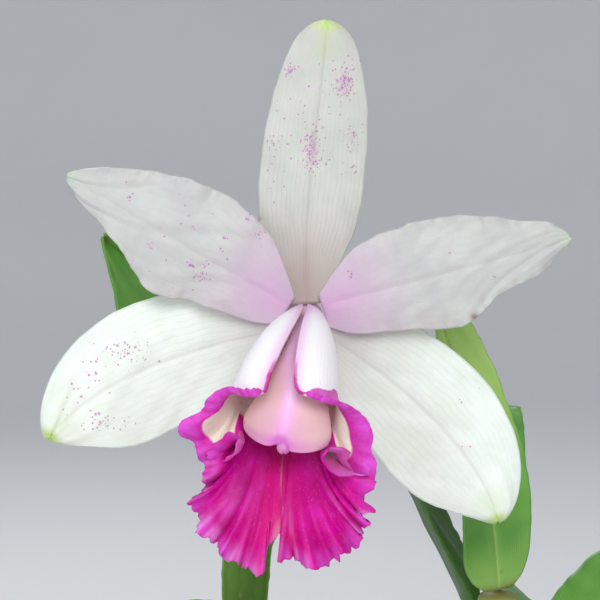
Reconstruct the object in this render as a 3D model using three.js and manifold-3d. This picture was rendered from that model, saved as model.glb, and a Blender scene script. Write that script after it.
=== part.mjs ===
// Potted Cattleya intermedia: a bifoliate orchid in bloom, rooted in bark in a plain clay pot.
// Units are millimetres and +Z is up. The origin is the centre of the pot's foot.
// The bloom faces -Y, and its own pieces are placed from the point where they meet.
import * as THREE from 'three';
import { mergeVertices } from 'three/addons/utils/BufferGeometryUtils.js';
import Module from 'manifold-3d';

const wasm = await Module();
wasm.setup();

// Driving dimensions
const GAP = 0.3;
const POT_HEIGHT = 110;
const POT_RIM_RADIUS = 65;
const POT_RIM_HEIGHT = 20;
const POT_SHOULDER_RADIUS = 60;
const POT_FOOT_RADIUS = 45;
const POT_WALL = 5;
const POT_FLOOR = 8;
const DRAIN_RADIUS = 5;
const DRAIN_CIRCLE = 24;
const BARK_LEVEL = 95;
const RHIZOME_RADIUS = 4.2;
const ROOT_RADIUS = 1.7;
const PEDUNCLE_RADIUS = 1.7;
const TEPAL_THICKNESS = 0.9;
const LIP_THICKNESS = 0.75;
const LEAF_THICKNESS = 1.3;
const SHEATH_THICKNESS = 0.6;
const BLOOM_CENTRE = new THREE.Vector3(-8, -42, 330);

const v = (x, y, z) => new THREE.Vector3(x, y, z);

// Colours and finishes, one per kind of tissue
const FINISH = {
  clay: { color: 0xb9694a, roughness: 0.85 },
  bark: { color: 0x5d4130, roughness: 0.95 },
  rhizome: { color: 0x6f6a3a, roughness: 0.7 },
  bulb: { color: 0x6c8a3c, roughness: 0.5 },
  sheath: { color: 0xcbbd9c, roughness: 0.8 },
  leaf: { color: 0x4f8a34, roughness: 0.4 },
  stem: { color: 0x6f8f45, roughness: 0.5 },
  sepal: { color: 0xe3e6e4, roughness: 0.5 },
  petal: { color: 0xe0dfe2, roughness: 0.5 },
  lip: { color: 0xb9128f, roughness: 0.45 },
  column: { color: 0xe3b3c4, roughness: 0.45 },
  cap: { color: 0xc05aa5, roughness: 0.4 },
};

// A seeded random number source, so that each run gives the same plant
function seededRandom(seed) {
  let state = seed;
  return () => {
    state = (state * 1664525 + 1013904223) % 4294967296;
    return state / 4294967296;
  };
}

// A smooth value through hand-set stations [[position, value], ...]
function through(stations, position) {
  const last = stations.length - 1;
  let k = 0;
  while (k < last - 1 && position > stations[k + 1][0]) {
    k += 1;
  }
  const slope = (i) => {
    const a = stations[Math.max(i - 1, 0)];
    const b = stations[Math.min(i + 1, last)];
    return (b[1] - a[1]) / (b[0] - a[0]);
  };
  const [x0, y0] = stations[k];
  const [x1, y1] = stations[k + 1];
  const span = x1 - x0;
  const u = (position - x0) / span;
  const rise = y0 * (1 + 2 * u) * (1 - u) ** 2 + y1 * u * u * (3 - 2 * u);
  return rise + span * (slope(k) * u * (1 - u) ** 2 - slope(k + 1) * u * u * (1 - u));
}

// A closed thin sheet: pointAt(s, t) with s from 0 to 1 along it and t from -1 to 1 across it.
// Both faces are split along the same diagonals.
function sheetSolid(rows, columns, pointAt, thicknessAt) {
  const middle = [];
  for (let i = 0; i <= rows; i += 1) {
    middle.push([]);
    for (let j = 0; j <= columns; j += 1) {
      middle[i].push(pointAt(i / rows, (2 * j) / columns - 1));
    }
  }
  const positions = [];
  for (const side of [1, -1]) {
    for (let i = 0; i <= rows; i += 1) {
      for (let j = 0; j <= columns; j += 1) {
        const along = middle[Math.min(i + 1, rows)][j].clone().sub(middle[Math.max(i - 1, 0)][j]);
        const across = middle[i][Math.min(j + 1, columns)].clone().sub(middle[i][Math.max(j - 1, 0)]);
        const normal = across.cross(along).normalize();
        const half = thicknessAt(i / rows, (2 * j) / columns - 1) / 2;
        positions.push(...middle[i][j].clone().addScaledVector(normal, side * half).toArray());
      }
    }
  }
  const stride = columns + 1;
  const back = (rows + 1) * stride;
  const index = [];
  const rim = (p, q) => index.push(p, q, q + back, p, q + back, p + back);
  for (let i = 0; i < rows; i += 1) {
    for (let j = 0; j < columns; j += 1) {
      const a = i * stride + j;
      const b = a + 1;
      const c = a + stride;
      const d = c + 1;
      index.push(a, b, d, a, d, c);
      index.push(a + back, d + back, b + back, a + back, c + back, d + back);
    }
  }
  for (let j = 0; j < columns; j += 1) {
    rim(j + 1, j);
    rim(rows * stride + j, rows * stride + j + 1);
  }
  for (let i = 0; i < rows; i += 1) {
    rim(i * stride, (i + 1) * stride);
    rim((i + 1) * stride + columns, i * stride + columns);
  }
  const geometry = new THREE.BufferGeometry();
  geometry.setAttribute('position', new THREE.Float32BufferAttribute(positions, 3));
  geometry.setIndex(index);
  return geometry;
}

// A round or flattened stalk: a cylinder whose rings are carried along a curve.
// sectionAt(u, angle) gives the distance from the curve, with angle 0 towards "front".
function stalkSolid(curve, front, sides, steps, sectionAt) {
  const geometry = bareSolid(new THREE.CylinderGeometry(1, 1, 1, sides, steps));
  const position = geometry.getAttribute('position');
  for (let k = 0; k < position.count; k += 1) {
    const u = 0.5 - position.getY(k);
    const isCentre = Math.hypot(position.getX(k), position.getZ(k)) < 0.5;
    const angle = Math.atan2(position.getX(k), position.getZ(k));
    const { point, up, side } = frameOn(curve, front, u);
    const radius = isCentre ? 0 : sectionAt(u, angle);
    point.addScaledVector(up, radius * Math.cos(angle));
    point.addScaledVector(side, radius * Math.sin(angle));
    position.setXYZ(k, point.x, point.y, point.z);
  }
  return geometry;
}

// The place and axes of a curve at u: "up" is as near to front as the curve's direction allows
function frameOn(curve, front, u) {
  const point = curve.getPoint(u);
  const tangent = curve.getTangent(u);
  const up = front.clone().addScaledVector(tangent, -front.dot(tangent)).normalize();
  const side = up.clone().cross(tangent);
  return { point, up, side };
}

// A geometry with its shared corners merged and nothing but positions
function bareSolid(geometry) {
  geometry.deleteAttribute('normal');
  geometry.deleteAttribute('uv');
  return mergeVertices(geometry, 1e-4);
}

function toManifold(geometry) {
  const bare = geometry.index ? geometry : mergeVertices(geometry, 1e-4);
  const vertProperties = new Float32Array(bare.getAttribute('position').array);
  const triVerts = new Uint32Array(bare.index.array);
  return new wasm.Manifold(new wasm.Mesh({ numProp: 3, vertProperties, triVerts }));
}

function fromManifold(solid) {
  const { vertProperties, triVerts, numProp } = solid.getMesh();
  const geometry = new THREE.BufferGeometry();
  const corners = [];
  for (let k = 0; k < vertProperties.length; k += numProp) {
    corners.push(vertProperties[k], vertProperties[k + 1], vertProperties[k + 2]);
  }
  geometry.setAttribute('position', new THREE.Float32BufferAttribute(corners, 3));
  geometry.setIndex(Array.from(triVerts));
  return geometry;
}

function piece(name, geometry, finish) {
  const material = new THREE.MeshStandardMaterial({ ...FINISH[finish], metalness: 0 });
  const mesh = new THREE.Mesh(geometry, material);
  mesh.name = name;
  return mesh;
}

// A leaf, sepal or petal: a midrib curve, half widths on both sides, and its bending and waves
function bladePoint(shape, s, t) {
  const rib = new THREE.CubicBezierCurve3(...shape.rib);
  const facing = shape.facing[0].clone().lerp(shape.facing[1], s);
  const { point, up, side } = frameOn(rib, facing, s);
  const width = through(t < 0 ? shape.left : shape.right, s) * (shape.widen ?? 1);
  const wave = shape.wave ?? { height: 0, count: 0, phase: 0 };
  const swell = THREE.MathUtils.smoothstep(s, 0.04, 0.42);
  const turn = 2 * Math.PI * (wave.count * s + (t < 0 ? wave.phase : 0));
  const ripple = wave.height * Math.abs(t) ** 2.2 * (1 - s ** 6) * Math.sin(turn);
  const bend = (shape.cup ?? 0) * t * t + (shape.fold ?? 0) * Math.abs(t);
  point.addScaledVector(side, -width * t);
  point.addScaledVector(up, swell * (bend + ripple));
  return point;
}

function bladeSolid(shape, rows, columns, thickness) {
  const thin = (s, t) => thickness * (1 - 0.25 * t * t);
  const towardsTip = (s) => 1 - (1 - s) ** 1.35;
  return sheetSolid(rows, columns, (s, t) => bladePoint(shape, towardsTip(s), t), thin);
}

// The pot: one closed profile turned about the axis, with three drain holes round a solid centre
function makePot() {
  const shoulder = POT_HEIGHT - POT_RIM_HEIGHT;
  const innerTop = POT_RIM_RADIUS - POT_WALL - 1;
  const profile = [
    [0, 0],
    [POT_FOOT_RADIUS - 1.5, 0],
    [POT_FOOT_RADIUS, 1.5],
    [POT_SHOULDER_RADIUS - 1.5, shoulder - 3],
    [POT_SHOULDER_RADIUS + 0.5, shoulder - 2],
    [POT_RIM_RADIUS - 1, shoulder],
    [POT_RIM_RADIUS, shoulder + 1.5],
    [POT_RIM_RADIUS, POT_HEIGHT - 2],
    [POT_RIM_RADIUS - 2, POT_HEIGHT],
    [innerTop + 1.5, POT_HEIGHT],
    [innerTop, POT_HEIGHT - 1.5],
    [potInnerRadius(shoulder), shoulder],
    [potInnerRadius(POT_FLOOR), POT_FLOOR],
    [0, POT_FLOOR],
  ].map(([radius, height]) => new THREE.Vector2(radius, height));
  const lathe = bareSolid(new THREE.LatheGeometry(profile, 40));
  lathe.rotateX(Math.PI / 2);
  let pot = toManifold(lathe);
  for (let k = 0; k < 3; k += 1) {
    const angle = (2 * Math.PI * k) / 3 + Math.PI / 2;
    const drill = bareSolid(new THREE.CylinderGeometry(DRAIN_RADIUS, DRAIN_RADIUS, 3 * POT_FLOOR, 14));
    drill.rotateX(Math.PI / 2);
    drill.translate(DRAIN_CIRCLE * Math.cos(angle), DRAIN_CIRCLE * Math.sin(angle), POT_FLOOR / 2);
    pot = pot.subtract(toManifold(drill));
  }
  return fromManifold(pot);
}

function potInnerRadius(height) {
  const shoulder = POT_HEIGHT - POT_RIM_HEIGHT;
  const slope = (POT_SHOULDER_RADIUS - POT_FOOT_RADIUS) / shoulder;
  return POT_FOOT_RADIUS - POT_WALL + slope * height;
}

// The plant's bulbs: foot and top, thickest radius, and how its leaves leave the top
const BULBS = [
  { name: 'pseudobulb_flowering', foot: [-24, -8], top: [-23, -12, 245], radius: 7.6, topRadius: 7 },
  { name: 'pseudobulb_right', foot: [11, 8], top: [42, 6, 256], radius: 7.8, topRadius: 5 },
  { name: 'pseudobulb_back_right', foot: [29, 27], top: [46, 38, 226], radius: 7.2, topRadius: 4.8 },
  { name: 'pseudobulb_outer_right', foot: [42, 3], top: [56, 22, 210], radius: 7.2, topRadius: 4.8 },
  { name: 'pseudobulb_back', foot: [-15, 22], top: [-18, 52, 213], radius: 7, topRadius: 4.8 },
  { name: 'pseudobulb_back_left', foot: [-39, 17], top: [-50, 34, 178], radius: 6.4, topRadius: 4.4 },
];
const RHIZOME_HEIGHT = BARK_LEVEL + 3;
const BULB_FOOT_HEIGHT = RHIZOME_HEIGHT + RHIZOME_RADIUS + GAP;
const BULB_GIRTH = [[0, 0.5], [0.12, 0.62], [0.35, 0.88], [0.62, 1], [0.85, 0.9], [1, 0.66]];
const BULB_JOINTS = 5;
const LEAF_SEAT = 0.7;

function bulbCurve(bulb) {
  const foot = v(bulb.foot[0], bulb.foot[1], BULB_FOOT_HEIGHT);
  const top = v(...bulb.top);
  const rise = top.z - foot.z;
  const low = foot.clone().add(v(0, 0, rise * 0.35));
  const high = top.clone().sub(v(0, 0, rise * 0.3));
  return new THREE.CubicBezierCurve3(foot, low, high, top);
}

function bulbRadius(bulb, u) {
  const joint = Math.cos(Math.PI * BULB_JOINTS * u) ** 16;
  const girth = through(BULB_GIRTH, u) * bulb.radius * (1 - 0.07 * joint);
  return u > 0.9 ? Math.max(girth, bulb.topRadius) : girth;
}

function makeBulb(bulb) {
  const ribs = (u, angle) => bulbRadius(bulb, u) * (1 + 0.035 * Math.cos(4 * angle));
  return stalkSolid(bulbCurve(bulb), v(0, -1, 0), 8, 15, ribs);
}

// Papery sheaths: a thin wrap, open down one side, round a stretch of a bulb
const SHEATHS = [
  { bulb: 0, from: 0.05, to: 0.4, opening: 0.6 },
  { bulb: 1, from: 0.05, to: 0.34, opening: 2.4 },
  { bulb: 3, from: 0.05, to: 0.42, opening: -0.4 },
  { bulb: 5, from: 0.06, to: 0.38, opening: 3 },
];

function makeSheath({ bulb, from, to, opening }) {
  const curve = bulbCurve(BULBS[bulb]);
  const wrapPoint = (s, t) => {
    const u = from + (to - from) * s;
    const { point, up, side } = frameOn(curve, v(0, -1, 0), u);
    const angle = opening + Math.PI + t * (Math.PI - 0.35 - 0.5 * s);
    const radius = BULBS[bulb].radius * (through(BULB_GIRTH, u) + 0.03) + 1 + 1.2 * s ** 3;
    point.addScaledVector(up, radius * Math.cos(angle));
    point.addScaledVector(side, radius * Math.sin(angle));
    return point;
  };
  return sheetSolid(3, 10, wrapPoint, () => SHEATH_THICKNESS);
}

const FACE = [v(0, -1, 0), v(0, -1, 0)];

// Leaves: leathery, keeled blades, two to a bulb
const LEAF_WIDTH = [[0, 3], [0.1, 6.5], [0.28, 14.5], [0.48, 19], [0.62, 18.6], [0.78, 14], [0.9, 8],
  [0.97, 3.6], [1, 1.2]];

function leaf(name, bulb, offset, rib, facing, widen, extra = {}) {
  const [x, y, z] = BULBS[bulb].top;
  const base = v(x + offset[0], y + offset[1], z + LEAF_SEAT);
  const points = [base, ...rib.map((p) => v(...p))];
  const shape = { rib: points, facing: facing.map((f) => v(...f)), widen, fold: 3, cup: 1 };
  return { name, shape: { ...shape, left: LEAF_WIDTH, right: LEAF_WIDTH, ...extra } };
}

const FOLDED_BASE = [[0, 2.6], [0.2, 4.2], [0.42, 9.5], [0.62, 17.5], [0.78, 15.5], [0.9, 9], [0.97, 4],
  [1, 1.2]];
const LATE_FLARE = [[0, 2.6], [0.2, 4.4], [0.34, 5.3], [0.46, 6], [0.56, 8.6], [0.68, 13.5], [0.8, 14.5],
  [0.9, 9], [0.97, 4], [1, 1.2]];
const BROAD_BASE = [[0, 4.4], [0.04, 8], [0.12, 10.6], [0.35, 11], [0.55, 9.4], [0.75, 6.4], [0.9, 3.6],
  [1, 1.2]];
const LEAVES = [
  leaf('leaf_flowering_left', 0, [1, 2.7], [[-18, -9, 276], [-28, 0, 326], [-59, 4, 346]],
    [[0, -1, 0], [0.3, -1, 0.3]], 1, { left: LATE_FLARE, right: FOLDED_BASE }),
  leaf('leaf_flowering_back', 0, [-1, 5.2], [[-24, 0, 275], [-8, 24, 306], [-20, 28, 338]],
    [[0, -1, 0], [0, -1, 0.4]], 1, { left: FOLDED_BASE, right: FOLDED_BASE }),
  leaf('leaf_right_wide', 1, [-0.5, -2.4], [[41, 2, 282], [31, -6, 316], [20, -4, 340]],
    [[0.5, -0.8, 0], [0.6, -0.8, 0.1]], 1, { left: BROAD_BASE, right: BROAD_BASE }),
  leaf('leaf_right_recurved', 1, [0.5, 2.6], [[40.5, 24, 284], [36.5, 60, 318], [45.5, 68, 285]],
    [[0.3, -1, 0.3], [0.4, -0.4, 1]], 0.62),
  leaf('leaf_back_right_narrow', 2, [-2, -1], [[39, 36, 244], [21, 32, 276], [0, 36, 318]],
    [[1, -0.15, 0.4], [1, -0.15, 0.45]], 0.75),
  leaf('leaf_back_right_low', 2, [2.4, 1], [[48, 43, 242], [62, 76, 239], [72, 108, 221]],
    [[1, -0.4, 0.2], [0, 0, 1]], 0.95),
  leaf('leaf_outer_right', 3, [1.2, 2], [[60, 25, 230], [84, 38, 254], [114, 52, 270]],
    [[-0.6, -0.9, 0.3], [-0.5, -0.5, 1]], 0.9),
  leaf('leaf_outer_right_low', 3, [0, -2.6], [[57, 16, 230], [74, -22, 250], [98, -46, 232]],
    [[-0.2, -1, 0.3], [0, 0, 1]], 0.9),
  leaf('leaf_back_upright', 4, [1, 2.4], [[-22, 59, 238], [-29, 84, 262], [-22, 98, 292]],
    [[0, -1, 0], [0, -1, 0.6]], 0.95, { left: LATE_FLARE, right: LATE_FLARE }),
  leaf('leaf_back_left', 4, [-1, -2], [[-20.5, 48, 228], [-52, 49, 234], [-88, 66, 212]],
    [[0, -1, 0.2], [0, 0, 1]], 0.95),
  leaf('leaf_outer_left', 5, [0, 0], [[-53, 33, 204], [-80, 20, 236], [-116, 8, 232]],
    [[0.3, -0.4, 1], [0.2, 0, 1]], 0.9),
];

// The bloom's flat pieces, from the point where they meet. Sepals lie behind the petals.
const SEPAL_LAYER = 0.6;
const PETAL_LAYER = -0.8;
const DORSAL_SEPAL = {
  rib: [v(0.5, SEPAL_LAYER, 3.2), v(-1, 4, 24), v(3.5, 6, 46), v(5, 2, 68)],
  facing: FACE,
  left: [[0, 4.2], [0.12, 7.6], [0.3, 11.2], [0.5, 11.9], [0.7, 11], [0.85, 8.9], [0.94, 6.4], [0.98, 3.6],
    [1, 1.2]],
  right: [[0, 4.2], [0.12, 7.2], [0.3, 11.5], [0.5, 12.4], [0.7, 11.5], [0.85, 9], [0.94, 6.4],
    [0.98, 3.8], [1, 1.2]],
  cup: -1.5,
  wave: { height: 0.5, count: 3, phase: 0.4 },
};
const INNER_SEPAL_WIDTH = [[0, 3.4], [0.1, 8], [0.25, 12.8], [0.43, 14.7], [0.57, 15.9], [0.7, 15.3],
  [0.82, 12.4], [0.92, 7.4], [0.97, 3.8], [1, 1.2]];
const OUTER_SEPAL_WIDTH = [[0, 3.4], [0.1, 8], [0.25, 12.8], [0.43, 14.5], [0.57, 14.7], [0.7, 13.1],
  [0.82, 10.2], [0.92, 6.2], [0.97, 3.4], [1, 1.2]];
const LEFT_SEPAL = {
  rib: [v(-4, SEPAL_LAYER, -2.5), v(-22, 3, -6), v(-47, 0, -12), v(-58.4, -7, -27)],
  facing: FACE,
  left: INNER_SEPAL_WIDTH,
  right: OUTER_SEPAL_WIDTH,
  cup: -2,
  wave: { height: 0.7, count: 2.5, phase: 0.3 },
};
const RIGHT_SEPAL = {
  rib: [v(4, SEPAL_LAYER, -3.5), v(16, 3, -11), v(41, 0, -29), v(44, -7, -46)],
  facing: FACE,
  left: OUTER_SEPAL_WIDTH,
  right: INNER_SEPAL_WIDTH,
  cup: -2,
  wave: { height: 0.7, count: 2.5, phase: 0.6 },
};
const LEFT_PETAL = {
  rib: [v(-3.6, PETAL_LAYER, 2.9), v(-20, -5, 13), v(-38, -7, 23), v(-54.3, 0, 32.7)],
  facing: FACE,
  left: [[0, 5], [0.1, 7.6], [0.3, 10], [0.5, 13.3], [0.58, 11.4], [0.66, 8.8], [0.8, 5.4], [0.9, 4],
    [0.96, 2.2], [1, 1.2]],
  right: [[0, 2.2], [0.11, 7.7], [0.2, 11.6], [0.38, 14.4], [0.55, 13.7], [0.7, 11.2], [0.85, 7.2],
    [0.95, 3.8], [1, 1.2]],
  cup: -1,
  wave: { height: 1.1, count: 4, phase: 0.35 },
};
const RIGHT_PETAL = {
  rib: [v(3.9, PETAL_LAYER, 2.9), v(22, -5, 8), v(42, -7, 13.5), v(60.7, -1, 18.4)],
  facing: FACE,
  left: [[0, 2.6], [0.1, 7.5], [0.2, 11.2], [0.4, 12.8], [0.55, 12.3], [0.7, 10.1], [0.82, 7.1],
    [0.94, 4.6], [1, 1.2]],
  right: [[0, 5], [0.1, 8.2], [0.3, 10.4], [0.5, 13], [0.6, 10.7], [0.7, 7.8], [0.85, 6], [0.94, 3.4],
    [1, 1.2]],
  cup: -1,
  wave: { height: 1.1, count: 4, phase: 0.6 },
};

// The lip: a slit tube round the column that flares into two side lobes and a two-part front lobe
const LIP_AXIS = new THREE.CubicBezierCurve3(
  v(0, -1.7, -0.3), v(0, -14, -2), v(-3.5, -22, -9), v(-5, -24, -19.5),
);
const LIP_FRONT = v(0, -0.6, 0.8);
const LIP_TUBE_RADIUS = [[0, 3.4], [0.25, 6], [0.5, 8.8], [0.75, 10.8], [1, 12]];
const LIP_SLIT = [[0, 1], [0.4, 1.3], [0.7, 2.2], [1, 4.4]];
const LIP_TUBE_SHARE = 0.45;
const LIP_CENTRE_X = -5;
const LIP_FOCUS = v(LIP_CENTRE_X, -27, -28);
// Half of the free margin, from the notch in the front lobe to the corner beside the slit
const LIP_MARGIN = [
  v(0.8, -24, -46), v(4, -27.5, -53), v(10, -28, -54.5), v(15, -26, -50.5), v(19, -24, -45),
  v(19.5, -22, -39.5), v(17.5, -20, -33.5), v(20, -21, -28), v(21.5, -23, -23.5), v(16, -28, -18.5),
  v(5.5, -32, -15.5),
];
// Waves of the margin: height, number over half its length, and start
const LIP_RUFFLES = [[2, 5, 0.6], [0.7, 8, 0]];
const LIP_MARGIN_CURVE = new THREE.CatmullRomCurve3(LIP_MARGIN, false, 'catmullrom', 0.5);

function lipTubePoint(a, t) {
  const { point, up, side } = frameOn(LIP_AXIS, LIP_FRONT, a);
  const radius = through(LIP_TUBE_RADIUS, a);
  const angle = t * (Math.PI - Math.asin(through(LIP_SLIT, a) / radius));
  point.addScaledVector(up, -radius * Math.cos(angle));
  point.addScaledVector(side, radius * Math.sin(angle));
  return point;
}

function lipPoint(s, t) {
  const tubeEnd = 1 - 0.3 * Math.abs(t) ** 3;
  if (s <= LIP_TUBE_SHARE) {
    return lipTubePoint((s / LIP_TUBE_SHARE) * tubeEnd, t);
  }
  const flare = (s - LIP_TUBE_SHARE) / (1 - LIP_TUBE_SHARE);
  const start = lipTubePoint(tubeEnd, t);
  const heading = start.clone().sub(lipTubePoint(tubeEnd - 0.05, t)).normalize();
  const end = LIP_MARGIN_CURVE.getPoint(Math.abs(t));
  end.x = LIP_CENTRE_X + Math.sign(t) * end.x;
  const outward = end.clone().sub(LIP_FOCUS).normalize();
  const reach = 0.35 * end.distanceTo(start);
  const vein = new THREE.CubicBezierCurve3(
    start,
    start.clone().addScaledVector(heading, reach),
    end.clone().addScaledVector(outward, -reach),
    end,
  );
  const point = vein.getPoint(flare);
  const forward = v(0, -1, 0);
  const lift = forward.addScaledVector(outward, -forward.dot(outward)).normalize();
  const ruffle = LIP_RUFFLES.reduce((sum, [height, count, phase]) => {
    return sum + height * Math.sin(2 * Math.PI * count * t + phase);
  }, 0);
  return point.addScaledVector(lift, flare ** 1.5 * ruffle);
}

// The column: narrow where it leaves the bloom's centre and a broad hood at its end
const COLUMN_CURVE = new THREE.CubicBezierCurve3(
  v(0, -1.7, 0), v(-0.5, -15, 0), v(-3, -25, -10), v(-5, -25.5, -25.6),
);
const COLUMN_HALF_WIDTH = [[0, 1.9], [0.3, 2.7], [0.5, 4.2], [0.7, 7], [0.86, 9.6], [0.95, 9.8], [1, 8]];

function makeColumn() {
  const section = (u, angle) => {
    const halfWidth = through(COLUMN_HALF_WIDTH, u);
    const depth = halfWidth * (Math.cos(angle) > 0 ? 0.5 : 0.25);
    const ellipse = (halfWidth * depth) / Math.hypot(depth * Math.sin(angle), halfWidth * Math.cos(angle));
    return ellipse + (Math.abs(angle) < 0.2 ? 0.06 * halfWidth : 0);
  };
  return stalkSolid(COLUMN_CURVE, LIP_FRONT, 14, 12, section);
}

function makeAntherCap() {
  const cap = bareSolid(new THREE.SphereGeometry(1.9, 8, 6));
  cap.scale(1, 0.8, 0.9);
  cap.translate(-5, -26, -27.9);
  return cap;
}

// Ovary and stalk behind the bloom, ending in a disc with a stub that the column stands on
function makeOvary() {
  const curve = new THREE.CubicBezierCurve3(v(0, 1.5, 0), v(0, 20, 0), v(-8, 30, -2), v(-10, 30, -34.6));
  const girth = [[0, 4.6], [0.06, 3], [0.15, 2.3], [0.4, 2.1], [0.75, 1.5], [1, 1.5]];
  const ridged = (u, angle) => through(girth, u) * (1 + 0.08 * Math.cos(3 * angle));
  const stalk = toManifold(stalkSolid(curve, v(0, 0, 1), 9, 14, ridged));
  const stub = bareSolid(new THREE.CylinderGeometry(2.1, 2.1, 5, 10));
  stub.translate(0, 1.2, 0);
  return fromManifold(stalk.add(toManifold(stub)));
}

const PEDUNCLE_TOP = BLOOM_CENTRE.clone().add(v(-10, 30, -35));

function peduncleCurve() {
  const [x, y, z] = BULBS[0].top;
  const base = v(x, y - 1.4, z + 0.5);
  return new THREE.CubicBezierCurve3(base, v(x, y - 1.4, z + 20), v(x + 1, y - 1, z + 36), PEDUNCLE_TOP);
}

function makePeduncle() {
  const radius = (u) => PEDUNCLE_RADIUS * (1 + 0.25 * Math.cos(Math.PI * 2 * u) ** 20);
  return stalkSolid(peduncleCurve(), v(0, -1, 0), 8, 8, radius);
}

// The flat green sheath that the flower stem grows out of, folded round it and open at its back
function makeSpathe() {
  const halfWidth = [[0, 3], [0.25, 5.2], [0.6, 5.8], [0.85, 4.8], [1, 3.2]];
  const halfDepth = [[0, 2.5], [0.3, 2.8], [1, 2.4]];
  const wrapPoint = (s, t) => {
    const { point, up, side } = frameOn(peduncleCurve(), v(0, -1, 0), 0.02 + 0.82 * s);
    const angle = t * (Math.PI - 0.3 - 0.3 * s);
    point.addScaledVector(up, through(halfDepth, s) * Math.cos(angle));
    return point.addScaledVector(side, through(halfWidth, s) * Math.sin(angle));
  };
  return sheetSolid(8, 10, wrapPoint, () => 0.7);
}

// The small scale at the joint where the bloom's stalk leaves the stem
const BRACT = {
  rib: [v(-18.2, -14.4, 291), v(-18.4, -14.6, 295), v(-18.8, -15.4, 298), v(-19.2, -16.4, 302)],
  facing: FACE,
  left: [[0, 1.6], [0.3, 2.4], [0.7, 1.6], [1, 0.7]],
  right: [[0, 1.6], [0.3, 2.4], [0.7, 1.6], [1, 0.7]],
};

// The rhizome creeps over the bark from bulb to bulb, and roots run out from it and down into the bark
const RHIZOME_RUNS = [[5, 4, 1, 3], [4, 0], [1, 2]];

function rhizomeCurve(run) {
  const stops = run.map((bulb) => v(BULBS[bulb].foot[0], BULBS[bulb].foot[1], RHIZOME_HEIGHT));
  const first = stops[0].clone().sub(stops[1]).setLength(5).add(stops[0]);
  const last = stops.at(-1).clone().sub(stops.at(-2)).setLength(6).add(stops.at(-1));
  return new THREE.CatmullRomCurve3([first, ...stops, last]);
}

function extrudedTube(curve, radius, sides, steps) {
  const section = new THREE.Shape();
  for (let k = 0; k < sides; k += 1) {
    const angle = (2 * Math.PI * k) / sides;
    const corner = [radius * Math.cos(angle), radius * Math.sin(angle)];
    if (k === 0) {
      section.moveTo(...corner);
    } else {
      section.lineTo(...corner);
    }
  }
  section.closePath();
  return bareSolid(new THREE.ExtrudeGeometry(section, { steps, extrudePath: curve, curveSegments: 1 }));
}

function rootCurves() {
  const random = seededRandom(7);
  const curves = [];
  for (const [x, y] of BULBS.map((bulb) => bulb.foot)) {
    for (let k = 0; k < 2; k += 1) {
      const outward = Math.atan2(y, x) + (k - 0.5) * 1.5 + (random() - 0.5) * 0.6;
      const length = 16 + 10 * random();
      const stray = (random() - 0.5) * 7;
      const at = (share, height) => {
        const sway = stray * Math.sin(Math.PI * share);
        const dx = length * share * Math.cos(outward) - sway * Math.sin(outward);
        const dy = length * share * Math.sin(outward) + sway * Math.cos(outward);
        const place = v(x + dx, y + dy, height);
        const room = potInnerRadius(BARK_LEVEL) - 5;
        const reach = Math.hypot(place.x, place.y);
        return reach > room ? v((place.x * room) / reach, (place.y * room) / reach, height) : place;
      };
      const heights = [RHIZOME_HEIGHT, BARK_LEVEL + 1.6, BARK_LEVEL + 0.8, BARK_LEVEL - 5];
      curves.push(new THREE.CatmullRomCurve3(heights.map((height, i) => at(0.12 + (i * 0.88) / 3, height))));
    }
  }
  return curves;
}

function rootSystem(extra) {
  let solid = null;
  const join = (geometry) => {
    solid = solid ? solid.add(toManifold(geometry)) : toManifold(geometry);
  };
  for (const run of RHIZOME_RUNS) {
    join(extrudedTube(rhizomeCurve(run), RHIZOME_RADIUS + extra, 8, 6 * (run.length - 1)));
  }
  for (const curve of rootCurves()) {
    join(extrudedTube(curve, ROOT_RADIUS + extra, 6, 6));
  }
  return solid;
}

// Bark: a core that fills the pot, with chips lying at all angles in its surface, cleared for the roots
function makeBark() {
  const floor = POT_FLOOR + GAP;
  const profile = [
    [0, floor],
    [potInnerRadius(floor) - 2 * GAP, floor],
    [potInnerRadius(BARK_LEVEL - 4) - 2 * GAP, BARK_LEVEL - 4],
    [potInnerRadius(BARK_LEVEL) - 4, BARK_LEVEL - 1.5],
    [30, BARK_LEVEL],
    [0, BARK_LEVEL],
  ].map(([radius, height]) => new THREE.Vector2(radius, height));
  const core = bareSolid(new THREE.LatheGeometry(profile, 32));
  core.rotateX(Math.PI / 2);
  let solid = toManifold(core);
  const random = seededRandom(23);
  const chips = 42;
  const goldenAngle = Math.PI * (3 - Math.sqrt(5));
  for (let k = 0; k < chips; k += 1) {
    const size = [7 + 6 * random(), 5 + 4 * random(), 2.6 + 2 * random()];
    const chip = bareSolid(new THREE.BoxGeometry(...size));
    chip.rotateX((random() - 0.5) * 0.7);
    chip.rotateY((random() - 0.5) * 0.7);
    chip.rotateZ(2 * Math.PI * random());
    const radius = (potInnerRadius(BARK_LEVEL) - 10) * Math.sqrt((k + 0.5) / chips);
    chip.translate(radius * Math.cos(k * goldenAngle), radius * Math.sin(k * goldenAngle), BARK_LEVEL + 0.4);
    solid = solid.add(toManifold(chip));
  }
  return fromManifold(largestBody(solid.subtract(rootSystem(2 * GAP))));
}

function largestBody(solid) {
  return solid.decompose().sort((a, b) => b.volume() - a.volume())[0];
}

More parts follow.
